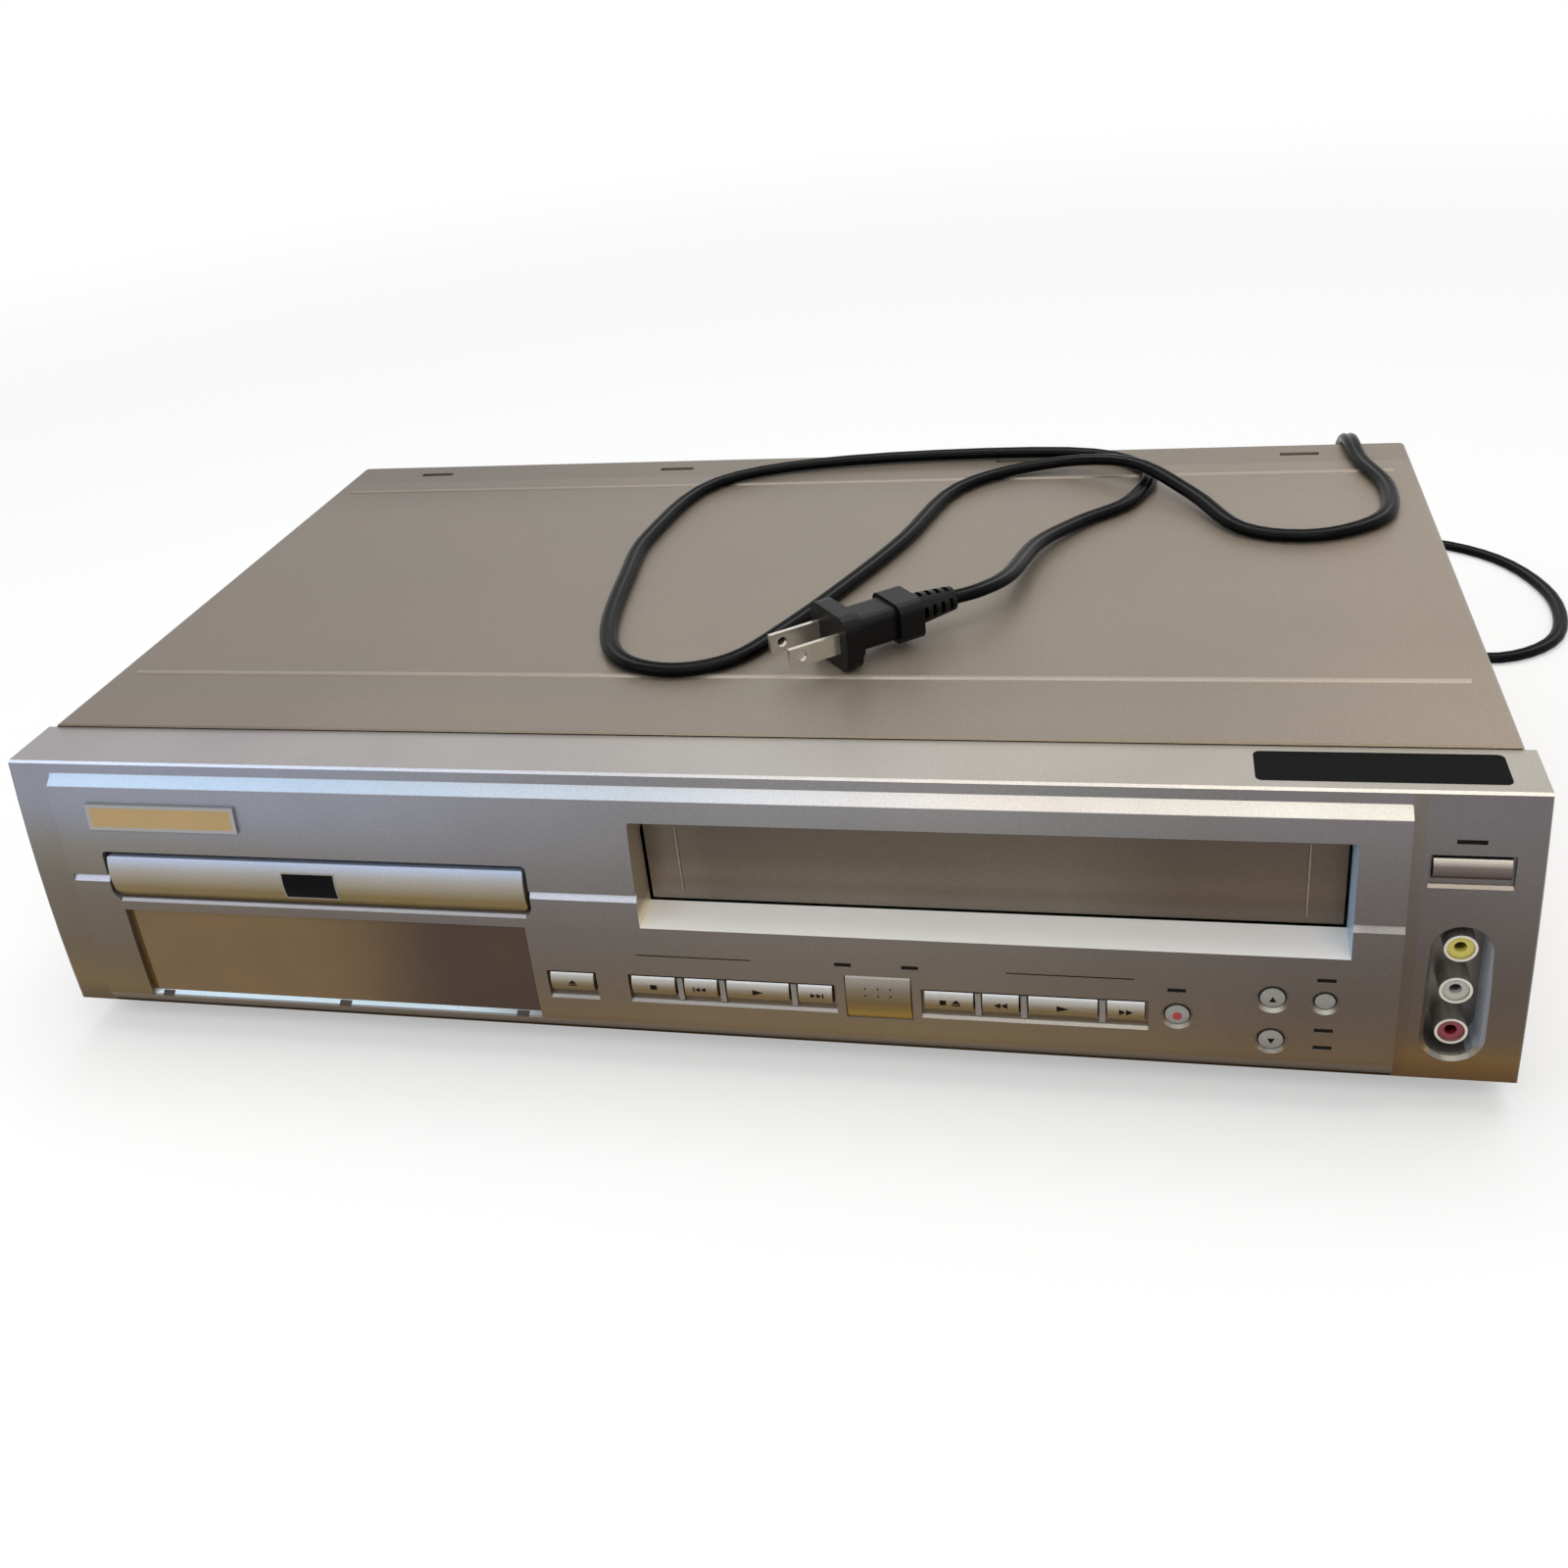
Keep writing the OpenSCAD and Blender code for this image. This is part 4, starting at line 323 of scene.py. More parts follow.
def tone_slopes(f):
    """The bezel's sloped edges, with painted highlights on the chamfer, groove, window shelf and top
    edge, and painted shade on the other ledges.
    """
    slope = f.times(f.facing(Z, 0.42, 0.55), f.facing(Z, 0.94, 0.86))
    low_slope = f.times(slope, f.along(Z, 0.040, 0.020))
    top_edge = f.times(slope, f.along(Z, *TOP_EDGE_Z))
    # Painted highlight along the groove, strongest and bluest at the left
    f.profile(f.times(slope, f.within(Z, *GROOVE_Z, SOFT)), X, (
        (-0.200, (2.35, 2.80, 3.60)), (-0.060, (2.10, 2.45, 3.00)), (0.172, (1.80, 1.98, 2.30)),
        (0.176, (1.10, 1.12, 1.25)), (0.190, (1.30, 1.35, 1.50))))
    # Painted shade on the drawer's lip and on the power key's ledge
    f.tint(f.times(slope, f.within(Z, *DRAWER_LIP_Z, SOFT)), (0.74, 0.77, 0.81))
    f.tint(f.times(slope, f.within(Z, *POWER_LEDGE_Z, SOFT)), (0.62, 0.56, 0.54))
    # Low slopes get painted shade, but the shelf under the window gets a painted highlight
    f.tint(low_slope, (0.50, 0.50, 0.50))
    f.tint(f.times(low_slope, f.along(X, -0.045, -0.085), f.along(Z, *WINDOW_SHELF_Z)),
           (3.0, 3.9, 4.4))
    # Painted highlight along the top edge, bluish towards the left
    f.tint(f.times(top_edge, f.along(X, 0.1, -0.2)), (1.02, 1.20, 1.45))
    f.tint(top_edge, (1.45, 1.45, 1.48))
    # Painted highlight along the panel's chamfer, bluish at the left
    chamfer = f.times(f.within(Z, *CHAMFER_Z, SHARP), f.within(X, *CHAMFER_X, SHARP))
    f.profile(chamfer, X, ((-0.135, (1.32, 1.80, 2.29)), (0.0, (1.40, 1.58, 1.82)),
                           (0.085, (1.66, 1.64, 1.70)), (0.190, (1.52, 1.55, 1.57))))


def tone_openings(f):
    """The bezel's cassette slot and socket recess, with painted light: a bright sill and pale walls
    in the slot, painted shade in the recess and a painted highlight on its right wall.
    """
    slot_height = f.within(Z, *SLOT_WALL_Z, SOFT)
    cup_height = f.within(Z, *CUP_Z, CLOSE)
    recess = f.times(f.within(X, *CUP_X, SHARP), cup_height, f.along(Y, *CUP_Y))
    sill = f.times(f.facing(Z, 0.8, 0.9), f.within(X, *SLOT_X, SHARP), f.within(Z, *SILL_Z, SHARP))
    left_wall = f.times(f.facing(X, 0.6, 0.9), f.within(X, *LEFT_WALL_X, CLOSE), slot_height)
    right_wall = f.times(f.facing(X, -0.6, -0.9), f.within(X, *RIGHT_WALL_X, CLOSE), slot_height)
    cup_wall = f.times(f.facing(X, -0.5, -0.9), f.within(X, *CUP_WALL_X, SHARP), cup_height)
    # Painted shade in the socket recess, a painted highlight on the sill, painted light on the slot's
    # walls with a brighter painted glint low on the left one, and a painted highlight on the recess's
    # right wall
    f.over(recess, (104, 100, 96))
    f.over(sill, (255, 253, 250))
    f.over(left_wall, (176, 160, 136))
    f.over(f.times(left_wall, f.along(Z, 0.058, 0.053)), (250, 235, 205))
    f.over(right_wall, (186, 216, 245))
    f.over(cup_wall, (176, 184, 196))
    for dull in (sill, right_wall, cup_wall):
        f.change("Metallic", dull, 0.0)


def dress_bezel():
    """Silver metallic plastic, with painted light: brighter where it looks up, warm towards the right
    and cool towards the left.
    """
    f = Finish("silver_plastic", (174, 172, 168), rough=0.33, metal=0.5, grain=3000,
               speckle=0.10, bump=0.04)
    up = f.facing(Z, 0.28, 0.6)
    # Painted light: warm towards the right, cool towards the left
    f.tint(f.along(X, -0.19, 0.19), (1.06, 1.01, 0.93), (0.97, 0.92, 0.97))
    # Painted shade on all but the upward faces, and on the upward faces towards the left
    f.tint(up, (0.95, 0.96, 0.96), (0.46, 0.475, 0.505))
    f.tint(f.times(up, f.along(X, 0.06, -0.2)), (0.83, 0.83, 0.84))
    tone_slopes(f)
    tone_faces(f)
    tone_openings(f)
    dress("front_bezel", f)


def dress_cover():
    """Warm grey paint on sheet metal, with painted light and shade: paler to the right, darker to the
    left and at the back, with painted highlights along its beads and bent front edge.
    """
    f = Finish("cover_paint", (139, 130, 118), rough=0.4, metal=0.25, grain=1500, speckle=0.07,
               bump=0.10, patches=0.03)
    front, back = extent("top_cover", Y)
    top = extent("top_cover", Z)[1]
    # Painted light and shade across the top: darker and cooler at the front, darker to the left and
    # at the back, paler to the right
    f.tint(f.along(Y, -0.135, -0.05), (0.96, 0.95, 0.93), (0.80, 0.87, 0.88))
    f.profile(1.0, X, ((-0.215, (0.68, 0.64, 0.62)), (-0.170, (0.72, 0.69, 0.69)),
                       (-0.060, (0.86, 0.84, 0.83)), (0.0, (0.93, 0.92, 0.91)),
                       (0.100, (0.97, 0.95, 0.93)), (0.215, (1.14, 1.07, 1.03))))
    f.tint(f.along(Y, 0.06, 0.10), (0.92, 0.92, 0.92))
    f.tint(f.along(Y, -0.075, -0.100), (1.12, 1.06, 1.05))
    f.tint(f.times(f.along(X, 0.14, 0.20), f.along(Y, -0.04, -0.09)), (1.10, 1.10, 1.08))
    f.tint(f.times(f.along(X, -0.05, -0.18), f.along(Y, 0.06, 0.11)), (0.86, 0.86, 0.86))
    # Bent and stamped edges: a darker strip along the back, and painted highlights on the beads and
    # the front edge
    back_strip = f.times(f.facing(Z, 0.5, 0.9), f.along(Y, *near(back, -19.5, -17.5)))
    f.tint(back_strip, (0.84, 0.83, 0.80))
    beads = f.along(Z, *near(top, -0.34, -0.09))
    f.tint(beads, (1.5, 1.52, 1.55))
    front_edge = f.times(f.facing(Y, -0.3, -0.7), f.along(Y, *near(front, 16.1, 6.1)))
    f.tint(front_edge, (2.1, 2.1, 2.0))
    dress("top_cover", f)


def dress_drawer():
    """Silver drawer front with painted brown shade at its foot and a painted bluish highlight at its
    top, and the black tray behind.
    """
    tray = Finish("tray_silver", (162, 166, 172), rough=0.28, metal=0.55, grain=2600,
                  speckle=0.08, bump=0.03)
    # Painted shade down to a dark brown foot, and a painted bluish highlight along the top
    tray.tint(tray.along(Z, *span("tray_front", Z, 3.7, 0.5), "LINEAR"), (1.30, 1.24, 1.18),
              (0.56, 0.36, 0.10))
    top = extent("tray_front", Z)[1]
    tray.tint(tray.along(Z, *near(top, -5.0, 1.0)), (1.08, 1.30, 1.72))
    dress("tray_front", tray)
    dress("disc_tray", Finish("tray_plastic", (44, 44, 47), rough=0.42, grain=1600, speckle=0.1,
                              bump=0.08))


def key_finish(name, stops):
    """Silver key with painted light from foot to top, and painted shadow on its top face."""
    f = Finish(name, (158, 155, 150), rough=0.26, metal=0.55, grain=2600, speckle=0.08, bump=0.03)
    # Painted shade and highlights from foot to top, from the stops given
    f.profile(1.0, Z, stops, "Generated")
    # Painted shadow of the gap above the key, on its upward faces
    f.tint(f.facing(Z, 0.75, 0.9), (0.08, 0.08, 0.09))
    return f


def dress_keys():
    """Silver keys, with painted shade at the dark foot and a painted highlight at the top edge."""
    dress("open_close_button dvd_stop_button skip_back_button dvd_play_button "
          "skip_forward_button vcr_stop_eject_button rewind_button "
          "vcr_play_button fast_forward_button", key_finish("key_silver", (
              (0.0, (0.55, 0.36, 0.10)), (0.35, (0.52, 0.33, 0.11)), (0.55, (0.72, 0.60, 0.44)),
              (0.78, (1.40, 1.43, 1.45)), (0.9, (2.6, 2.8, 3.1)), (1.0, (1.6, 1.7, 1.85)))))
    # The output key: painted golden light at its foot, painted shade above it and a painted highlight
    # at the top
    dress("output_button", key_finish("key_output", (
        (0.0, (0.75, 0.44, 0.07)), (0.16, (0.78, 0.46, 0.06)), (0.26, (0.58, 0.36, 0.05)),
        (0.42, (0.42, 0.27, 0.10)), (0.65, (0.52, 0.43, 0.30)), (0.88, (0.85, 0.81, 0.76)),
        (0.95, (1.7, 1.7, 1.75)), (1.0, (2.0, 2.0, 2.1)))))
    # The power key: painted shade low down and a painted highlight at the top
    dress("power_button", key_finish("key_power", (
        (0.0, (0.22, 0.14, 0.11)), (0.3, (0.24, 0.17, 0.16)), (0.6, (0.50, 0.40, 0.40)),
        (0.82, (2.0, 1.85, 1.72)), (1.0, (2.9, 2.8, 2.7)))))
    dress("record_button channel_up_button channel_down_button timer_button",
          Finish("key_dome", (140, 137, 132), rough=0.22, metal=0.6, grain=2600, speckle=0.05,
                 bump=0.02))


def dress_door():
    """Brownish metal with painted reflection and shade: paler and darker stretches from left to
    right, painted shade at the top and a painted highlight along the low edge.
    """
    f = Finish("door_metal", (136, 130, 120), rough=0.32, metal=0.5, grain=2400, speckle=0.09,
               bump=0.04)
    # Painted reflection: paler and darker stretches from left to right
    f.profile(1.0, X, ((-0.020, (0.70, 0.62, 0.55)), (0.0, (0.48, 0.40, 0.34)),
                       (0.05, (0.60, 0.51, 0.43)), (0.10, (0.62, 0.53, 0.45)),
                       (0.13, (0.47, 0.37, 0.30)), (0.173, (0.50, 0.38, 0.31))))
    # Painted highlight along the low edge, painted shade at the top, and a paler painted patch at the
    # left below it
    f.tint(f.along(Z, 0.060, 0.0545), (1.3, 1.45, 1.65))
    f.tint(f.along(Z, 0.061, 0.070), (0.80, 0.79, 0.78))
    f.tint(f.times(f.along(X, 0.09, 0.01), f.along(Z, 0.068, 0.060)), (1.15, 1.15, 1.15))
    dress("cassette_door", f)


def dress_window():
    """Smoked glossy plastic, amber at the left and nearly black at the right."""
    f = Finish("smoked_window", (120, 92, 50), rough=0.09, metal=0.3, grain=60, speckle=0.04,
               bump=0.0, coat=0.1, coat_rough=0.05, patches=0.12)
    f.tint(f.along(X, -0.130, -0.080), (0.28, 0.185, 0.11))
    dress("display_window", f)


def dress_badge():
    """A gold field in a silver rim."""
    f = Finish("badge", (172, 146, 104), rough=0.3, metal=0.75, grain=2600, speckle=0.08, bump=0.05)
    field = f.times(f.within(X, 0.03, 0.97, 0.01, "Generated"),
                    f.within(Z, 0.14, 0.86, 0.04, "Generated"))
    f.use(f.mix("MIX", field, linear((158, 158, 158)), f.colour))
    dress("badge_plate", f)


def dress_jacks():
    """Yellow, white and red rings in one node, with painted shade inside their holes."""
    f = Finish("jack_colours", (196, 193, 187), rough=0.35, grain=600, speckle=0.03, bump=0.0,
               coat=0.2)
    low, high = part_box("front_jack_inserts")
    third = (high.z - low.z) / 3
    seam = 0.2 * MM
    f.over(f.along(Z, high.z - third - seam, high.z - third), (214, 200, 92))
    f.over(f.along(Z, low.z + third + seam, low.z + third), (132, 34, 50))
    # Painted shade inside the holes
    f.tint(f.along(Y, low.y + 0.8 * MM, low.y + 2.2 * MM), (0.25, 0.22, 0.2))
    dress("front_jack_inserts", f)
    dress("front_jack_shells plug_blades tape_heads", Finish(
        "nickel", (206, 200, 188), rough=0.24, metal=0.8, grain=500, speckle=0.05, bump=0.01))


def dress_plain_nodes():
    """Nodes with one even finish each: sheet metal, boards, mechanisms, rubber and vinyl."""
    dress("indicator_lenses", Finish("lens_black", (9, 8, 8), rough=0.5, specular=0.1))
    dress("bottom_pan side_brackets deck_plate cassette_holder clamp_bridge pinch_arm case_screws",
          Finish("zinc_steel", (150, 152, 152), rough=0.34, metal=0.85, grain=260, speckle=0.10,
                 bump=0.03, patches=0.1))
    dress("rear_panel", Finish("rear_steel", (128, 128, 126), rough=0.42, metal=0.6, grain=900,
                               speckle=0.06, bump=0.05))
    dress("feet", Finish("foot_rubber", (30, 30, 31), rough=0.7, grain=1200, bump=0.1))
    dress("display_module loader_frame turntable clamp_disc strain_relief rear_jack_block",
          Finish("black_plastic", (34, 34, 35), rough=0.5, grain=1600, speckle=0.12, bump=0.08))
    dress("button_board main_board power_supply",
          Finish("circuit_board", (34, 84, 48), rough=0.35, grain=240, speckle=0.25, bump=0.05,
                 coat=0.3))
    dress("tray_gear optical_sled", Finish("white_plastic", (222, 220, 210), rough=0.4, grain=900,
                                           speckle=0.03, bump=0.03))
    dress("traverse_plate lower_drum upper_drum guide_post_left guide_post_right loading_motor "
          "capstan_flywheel", Finish("cast_alloy", (182, 183, 186), rough=0.25, metal=0.9,
                                     grain=320, speckle=0.08, bump=0.03))
    dress("supply_reel takeup_reel", Finish("reel_plastic", (206, 206, 200), rough=0.38,
                                            grain=900, speckle=0.04, bump=0.03))
    dress("capstan_bearing", Finish("bronze", (170, 136, 84), rough=0.35, metal=0.9, grain=500))
    dress("pinch_roller", Finish("roller_rubber", (26, 25, 25), rough=0.65, grain=900, bump=0.1))
    dress("power_plug", Finish("plug_vinyl", (9, 9, 11), rough=0.36, grain=900, speckle=0.1,
                               bump=0.05, specular=0.2))


def make_materials():
    dress_cover()
    dress_bezel()
    dress_drawer()
    dress_keys()
    dress_door()
    dress_window()
    dress_badge()
    dress_jacks()
    dress_plain_nodes()


# ---------------------------------------------------------------- marks laid on CAD surfaces
SURFACES = {}
FRONT = Vector((0, 1, 0))       # looking at the front
DOWN = Vector((0, 0, -1))       # looking down on the top
OUTSIDE = 0.3                   # lines of sight start this far out, metres
SUNK = 0.04                     # a mark reaches this far into the surface, mm


def surface_of(node):
    mesh = NODES[node].data
    return BVHTree.FromPolygons([v.co for v in mesh.vertices], [p.vertices for p in mesh.polygons])


def drop(node, u, v, look):
    """The point of a node's surface that a line of sight meets.

    The line is u mm across, and v mm up or, looking down, v mm behind the front face.
    """
    if node not in SURFACES:
        SURFACES[node] = surface_of(node)
    if look is FRONT:
        start = Vector((u * MM, -OUTSIDE, v * MM))
    else:
        start = Vector((u * MM, (FACE_Y + v) * MM, OUTSIDE))
    hit = SURFACES[node].ray_cast(start, look)[0]
    if hit is None:
        raise ValueError(f"nothing of {node} at {u}, {v}")
    return hit


def to_object(name, bm, material, body):
    mesh = bpy.data.meshes.new(name)
    bmesh.ops.recalc_face_normals(bm, faces=bm.faces)
    bm.to_mesh(mesh)
    bm.free()
    mesh.materials.append(material)
    piece = bpy.data.objects.new(name, mesh)
    bpy.context.scene.collection.objects.link(piece)
    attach(piece, body)
    return piece


def add_patch(bm, node, outline, look, lift, cuts):
    """A thin solid with the given outline, lying on a node's surface and following its curve."""
    flat = bmesh.new()
    flat.faces.new([flat.verts.new((u, v, 0)) for u, v in outline])
    if cuts:
        bmesh.ops.poke(flat, faces=flat.faces[:])
        bmesh.ops.subdivide_edges(flat, edges=flat.edges[:], cuts=cuts, use_grid_fill=True)
    pairs = {}
    for vert in flat.verts:
        p = drop(node, vert.co.x, vert.co.y, look)
        pairs[vert] = (bm.verts.new(p - look * lift * MM), bm.verts.new(p + look * SUNK * MM))
    for face in flat.faces:
        bm.faces.new([pairs[v][0] for v in face.verts])
        bm.faces.new([pairs[v][1] for v in reversed(face.verts)])
    for edge in flat.edges:
        if edge.is_boundary:
            a, b = (pairs[v] for v in edge.verts)
            bm.faces.new((a[0], b[0], b[1], a[1]))
    flat.free()


def marks(name, node, outlines, material, body, lift=0.06, look=FRONT, cuts=3):
    """One object of thin solids on a node, from outlines in mm."""
    bm = bmesh.new()
    for outline in outlines:
        add_patch(bm, node, outline, look, lift, cuts)
    to_object(name, bm, material, body)


def add_sheet(bm, node, across, up, lift, sunk, steps):
    """A thin rectangular solid that follows a surface seen from the front, in steps upward."""
    rows = []
    for k in range(steps + 1):
        z = up[0] + (up[1] - up[0]) * k / steps
        row = []
        for x in across:
            p = drop(node, x, z, FRONT)
            row.append((bm.verts.new(p - FRONT * lift * MM), bm.verts.new(p + FRONT * sunk * MM)))
        rows.append(row)
    for (a, b), (c, d) in zip(rows, rows[1:]):
        bm.faces.new((a[0], b[0], d[0], c[0]))
        bm.faces.new((a[1], c[1], d[1], b[1]))
        bm.faces.new((a[0], c[0], c[1], a[1]))
        bm.faces.new((b[0], b[1], d[1], d[0]))
    for a, b in (rows[0], rows[-1]):
        bm.faces.new((a[0], b[0], b[1], a[1]))


def sheets(name, node, spans, up, material, body, lift, sunk=SUNK, steps=1):
    """One object of rectangles on a node, with their spans across and their common span up, in mm."""
    bm = bmesh.new()
    for across in spans:
        add_sheet(bm, node, across, up, lift, sunk, steps)
    to_object(name, bm, material, body)


def disc(x, z, r, n=20):
    return [(x + r * math.cos(2 * math.pi * k / n), z + r * math.sin(2 * math.pi * k / n))
            for k in range(n)]


def rounded_rectangle(x0, x1, z0, z1, r, n=5):
    points = []
    for cx, cz, start in ((x1 - r, z1 - r, 0), (x0 + r, z1 - r, 90), (x0 + r, z0 + r, 180),
                          (x1 - r, z0 + r, 270)):
        for k in range(n + 1):
            a = math.radians(start + 90 * k / n)
            points.append((cx + r * math.cos(a), cz + r * math.sin(a)))
    return points


TO_RIGHT, TO_TOP, TO_LEFT, TO_FOOT = 0, 90, 180, 270    # turns of an arrow, degrees
TALL, SHORT = 1.9, 1.6          # heights of the marks on the keys, mm
DOT_R, DOT_SIDES = 0.28, 10     # raised dots on the output key


def bar(x, w, h=SHORT, z=0.0):
    """A rectangle round a middle."""
    left, right, foot, top = x - w / 2, x + w / 2, z - h / 2, z + h / 2
    return [(left, foot), (right, foot), (right, top), (left, top)]


def arrow(x, w, h, turn, z=0.0):
    """A triangle of width w along its point and height h across."""
    c, s = math.cos(math.radians(turn)), math.sin(math.radians(turn))
    points = [(-w / 2, -h / 2), (w / 2, 0), (-w / 2, h / 2)]
    return [(x + c * a - s * b, z + s * a + c * b) for a, b in points]


def arrow_pair(x, apart, w, h, turn):
    """Two arrows round a middle, one behind the other."""
    return [arrow(x - apart / 2, w, h, turn), arrow(x + apart / 2, w, h, turn)]


def eject(x):
    """A flat arrow that points up over a bar."""
    return [arrow(x, 1.3, 2.5, TO_TOP, 0.45), bar(x, 2.4, 0.45, -0.725)]


KEY_MARKS = {                   # outlines round each key's middle, mm
    "open_close": eject(0),
    "dvd_stop": [bar(0, 2.0)],
    "skip_back": [bar(-2.2, 0.4), *arrow_pair(-0.25, 1.7, 1.5, SHORT, TO_LEFT)],
    "dvd_play": [arrow(0, 3.2, TALL, TO_RIGHT)],
    "skip_forward": [*arrow_pair(0.25, 1.7, 1.5, SHORT, TO_RIGHT), bar(2.2, 0.4)],
    "vcr_stop_eject": [bar(-1.7, 1.8), *eject(2)],
    "rewind": arrow_pair(0, 1.9, 1.8, TALL, TO_LEFT),
    "vcr_play": [arrow(0, 3.4, TALL, TO_RIGHT)],
    "fast_forward": arrow_pair(0, 1.9, 1.8, TALL, TO_RIGHT),
    "record": [disc(0, 0, 1.25)],
    "channel_up": [arrow(0, 1.7, 2.0, TO_TOP)],
    "channel_down": [arrow(0, 1.7, 2.0, TO_FOOT)],
    "output": [disc(x, z, DOT_R, DOT_SIDES) for x in (-3.6, 0, 3.6) for z in (1.0, 3.4)],
}
# Fine rules: the first and last key under each, and mm from those keys' outer sides
RULES = (("dvd_stop", "dvd_play", 3.7, -11.5), ("rewind", "fast_forward", 7.8, -4.0))
RULE_UP = (6.55, 6.85)          # their edges, over the top of the keys


def make_marks():
    """Printed marks on the keys, and the fine rules over the two rows of keys."""
    ink = Finish("print_ink", (22, 17, 13), rough=0.6, grain=1500, bump=0.0, specular=0.05).material
    red = Finish("record_red", (170, 38, 34), rough=0.35, grain=900, bump=0.0).material
    for key, outlines in KEY_MARKS.items():
        node = key + "_button"
        x = sum(extent(node, X)) / 2
        z = sum(extent(node, Z)) / 2
        moved = [[(x + u, z + v) for u, v in outline] for outline in outlines]
        marks(key + "_mark", node, moved, red if key == "record" else ink, node)

    rules = [(extent(first + "_button", X)[0] + start, extent(last + "_button", X)[1] + end)
             for first, last, start, end in RULES]
    key_top = extent("rewind_button", Z)[1]
    sheets("rules", "front_bezel", rules, [key_top + d for d in RULE_UP], ink, "chassis",
           0.05)


LABEL_FROM_RIGHT = (69.7, 8.3)  # the bare label's ends, from the bezel's right side, mm
LABEL_BACK = (11.6, 26.4)       # its edges, behind the front face
LABEL_ROUND = 1.8               # radius of its corners
PLATE_FROM_LEFT = (58.6, 76.3)  # the bare plate's ends, from the drawer's left side
PLATE_IN = (2.1, 2.9)           # from the drawer's foot and top
PLATE_RIM = 0.45                # width of the rim round it
PLATE_STEPS = 16                # rows that follow the drawer's curve


def make_plates():
    """Bare plates: one on the bezel's top and one, with its thin rim, on the drawer's front."""
    black = Finish("plate_black", (12, 12, 12), rough=0.6, grain=1400, speckle=0.1, bump=0.03,
                   specular=0.05).material
    rim = Finish("plate_rim", (150, 146, 138), rough=0.3, metal=0.6, grain=1400).material
    right = extent("front_bezel", X)[1]
    label = rounded_rectangle(*(right - d for d in LABEL_FROM_RIGHT), *LABEL_BACK, LABEL_ROUND)
    marks("top_label", "front_bezel", [label], black, "chassis", 0.12, DOWN, 0)
    left = extent("tray_front", X)[0]
    foot, top = extent("tray_front", Z)
    for name, inset, lift, material in (("tray_plate_rim", 0, 0.12, rim),
                                        ("tray_plate", PLATE_RIM, 0.22, black)):
        across = (left + PLATE_FROM_LEFT[0] + inset, left + PLATE_FROM_LEFT[1] - inset)
        up = (foot + PLATE_IN[0] + inset, top - PLATE_IN[1] - inset)
        sheets(name, "tray_front", [across], up, material, "disc_tray", lift,
               steps=PLATE_STEPS)


KEY_ROWS = (("dvd_stop", "skip_back", "dvd_play", "skip_forward"),
            ("vcr_stop_eject", "rewind", "vcr_play", "fast_forward"))
POST_W, POST_OUT, POST_IN = 1.6, 1.5, 0.1               # width, and out of and into the bezel, mm
POST_Z = (-0.1, -1.1)           # from the foot and the top of the keys
DOOR_LINE_W, DOOR_LINE_IN = 0.3, 13.3                   # in from the door's sides
DOOR_LINE_Z = (2.3, -10.1)      # from the door's foot and top
NOTCH_W, NOTCH_FROM_LEFT = 4.0, (5.2, 67.2, 126.2)      # from the window's left side
NOTCH_Z = (-1.3, -0.1)          # from the window's foot


def around(middle, width):
    """The two sides of a strip."""
    return middle - width / 2, middle + width / 2


def make_trim():
    """Silver posts between the keys, lines on the cassette door, and dark sheets of painted shade in
    the notches under the window.
    """
    silver = Finish("trim_silver", (132, 125, 116), rough=0.34, metal=0.4, grain=2600).material
    line = Finish("door_line", (150, 140, 126), rough=0.4, metal=0.3, grain=2600).material
    dark = Finish("notch_shade", (52, 44, 36), rough=0.6, grain=900).material

    gaps = [(extent(a + "_button", X)[1] + extent(b + "_button", X)[0]) / 2
            for row in KEY_ROWS for a, b in zip(row, row[1:])]
    foot, top = extent("rewind_button", Z)
    sheets("key_posts", "front_bezel", [around(x, POST_W) for x in gaps],
           (foot + POST_Z[0], top + POST_Z[1]), silver, "chassis",
           POST_OUT, POST_IN, steps=8)

    left, right = extent("cassette_door", X)
    foot, top = extent("cassette_door", Z)
    lines = [around(x, DOOR_LINE_W) for x in (left + DOOR_LINE_IN, right - DOOR_LINE_IN)]
    sheets("door_lines", "cassette_door", lines, (foot + DOOR_LINE_Z[0], top + DOOR_LINE_Z[1]),
           line, "cassette_door", 0.06)

    # Dark sheets of painted shade in the notches under the window
    left = extent("display_window", X)[0]
    foot = extent("display_window", Z)[0]
    notches = [around(left + d, NOTCH_W) for d in NOTCH_FROM_LEFT]
    sheets("window_notches", "front_bezel", notches, [foot + d for d in NOTCH_Z],
           dark, "chassis", 0.05, 0.05, steps=3)


# ---------------------------------------------------------------- mains cord
ROUTE = [
    (150, 151.5, 32), (150, 170, 27), (161, 189, 13), (181, 191.5, 4), (205, 175, 2),
    (230, 148.5, 2), (261, 139.5, 2), (286, 159, 2), (292, 200, 2), (277, 241, 2), (245, 262, 2),
    (210, 246, 2), (196, 208, 5), (195, 182, 20), (195, 162, 54), (195, 149, 84), (195, 130, 101),
    (197, 103, 101.7), (203, 74, 101.7), (198, 46, 101.7), (176, 31, 101.7), (152, 38, 101.7),
    (136, 66, 104), (114, 93, 106.5), (82, 104, 102.5), (51, 82, 101.7), (37, 32, 101.7),
    (23, -7, 101.7), (8.9, -40.5, 101.7), (-3.6, -63, 101.7), (-21.3, -70.5, 101.7),
    (-39.5, -63.2, 101.7), (-50.6, -40.7, 101.7), (-57, 2, 101.7), (-59, 40, 101.7),
    (-46, 94, 101.7), (4, 116, 101.7), (90, 119, 101.7), (120, 98, 101.7), (115, 66, 101.7),
    (98, 46, 102), (84.5, 22, 103.8), (77.5, -11.5, 106.9), (69.8, -26.8, 108.5),
    (61.7, -33.4, 108.8),
]
CORD_WIDTH, CORD_THICK = 6.0, 3.4
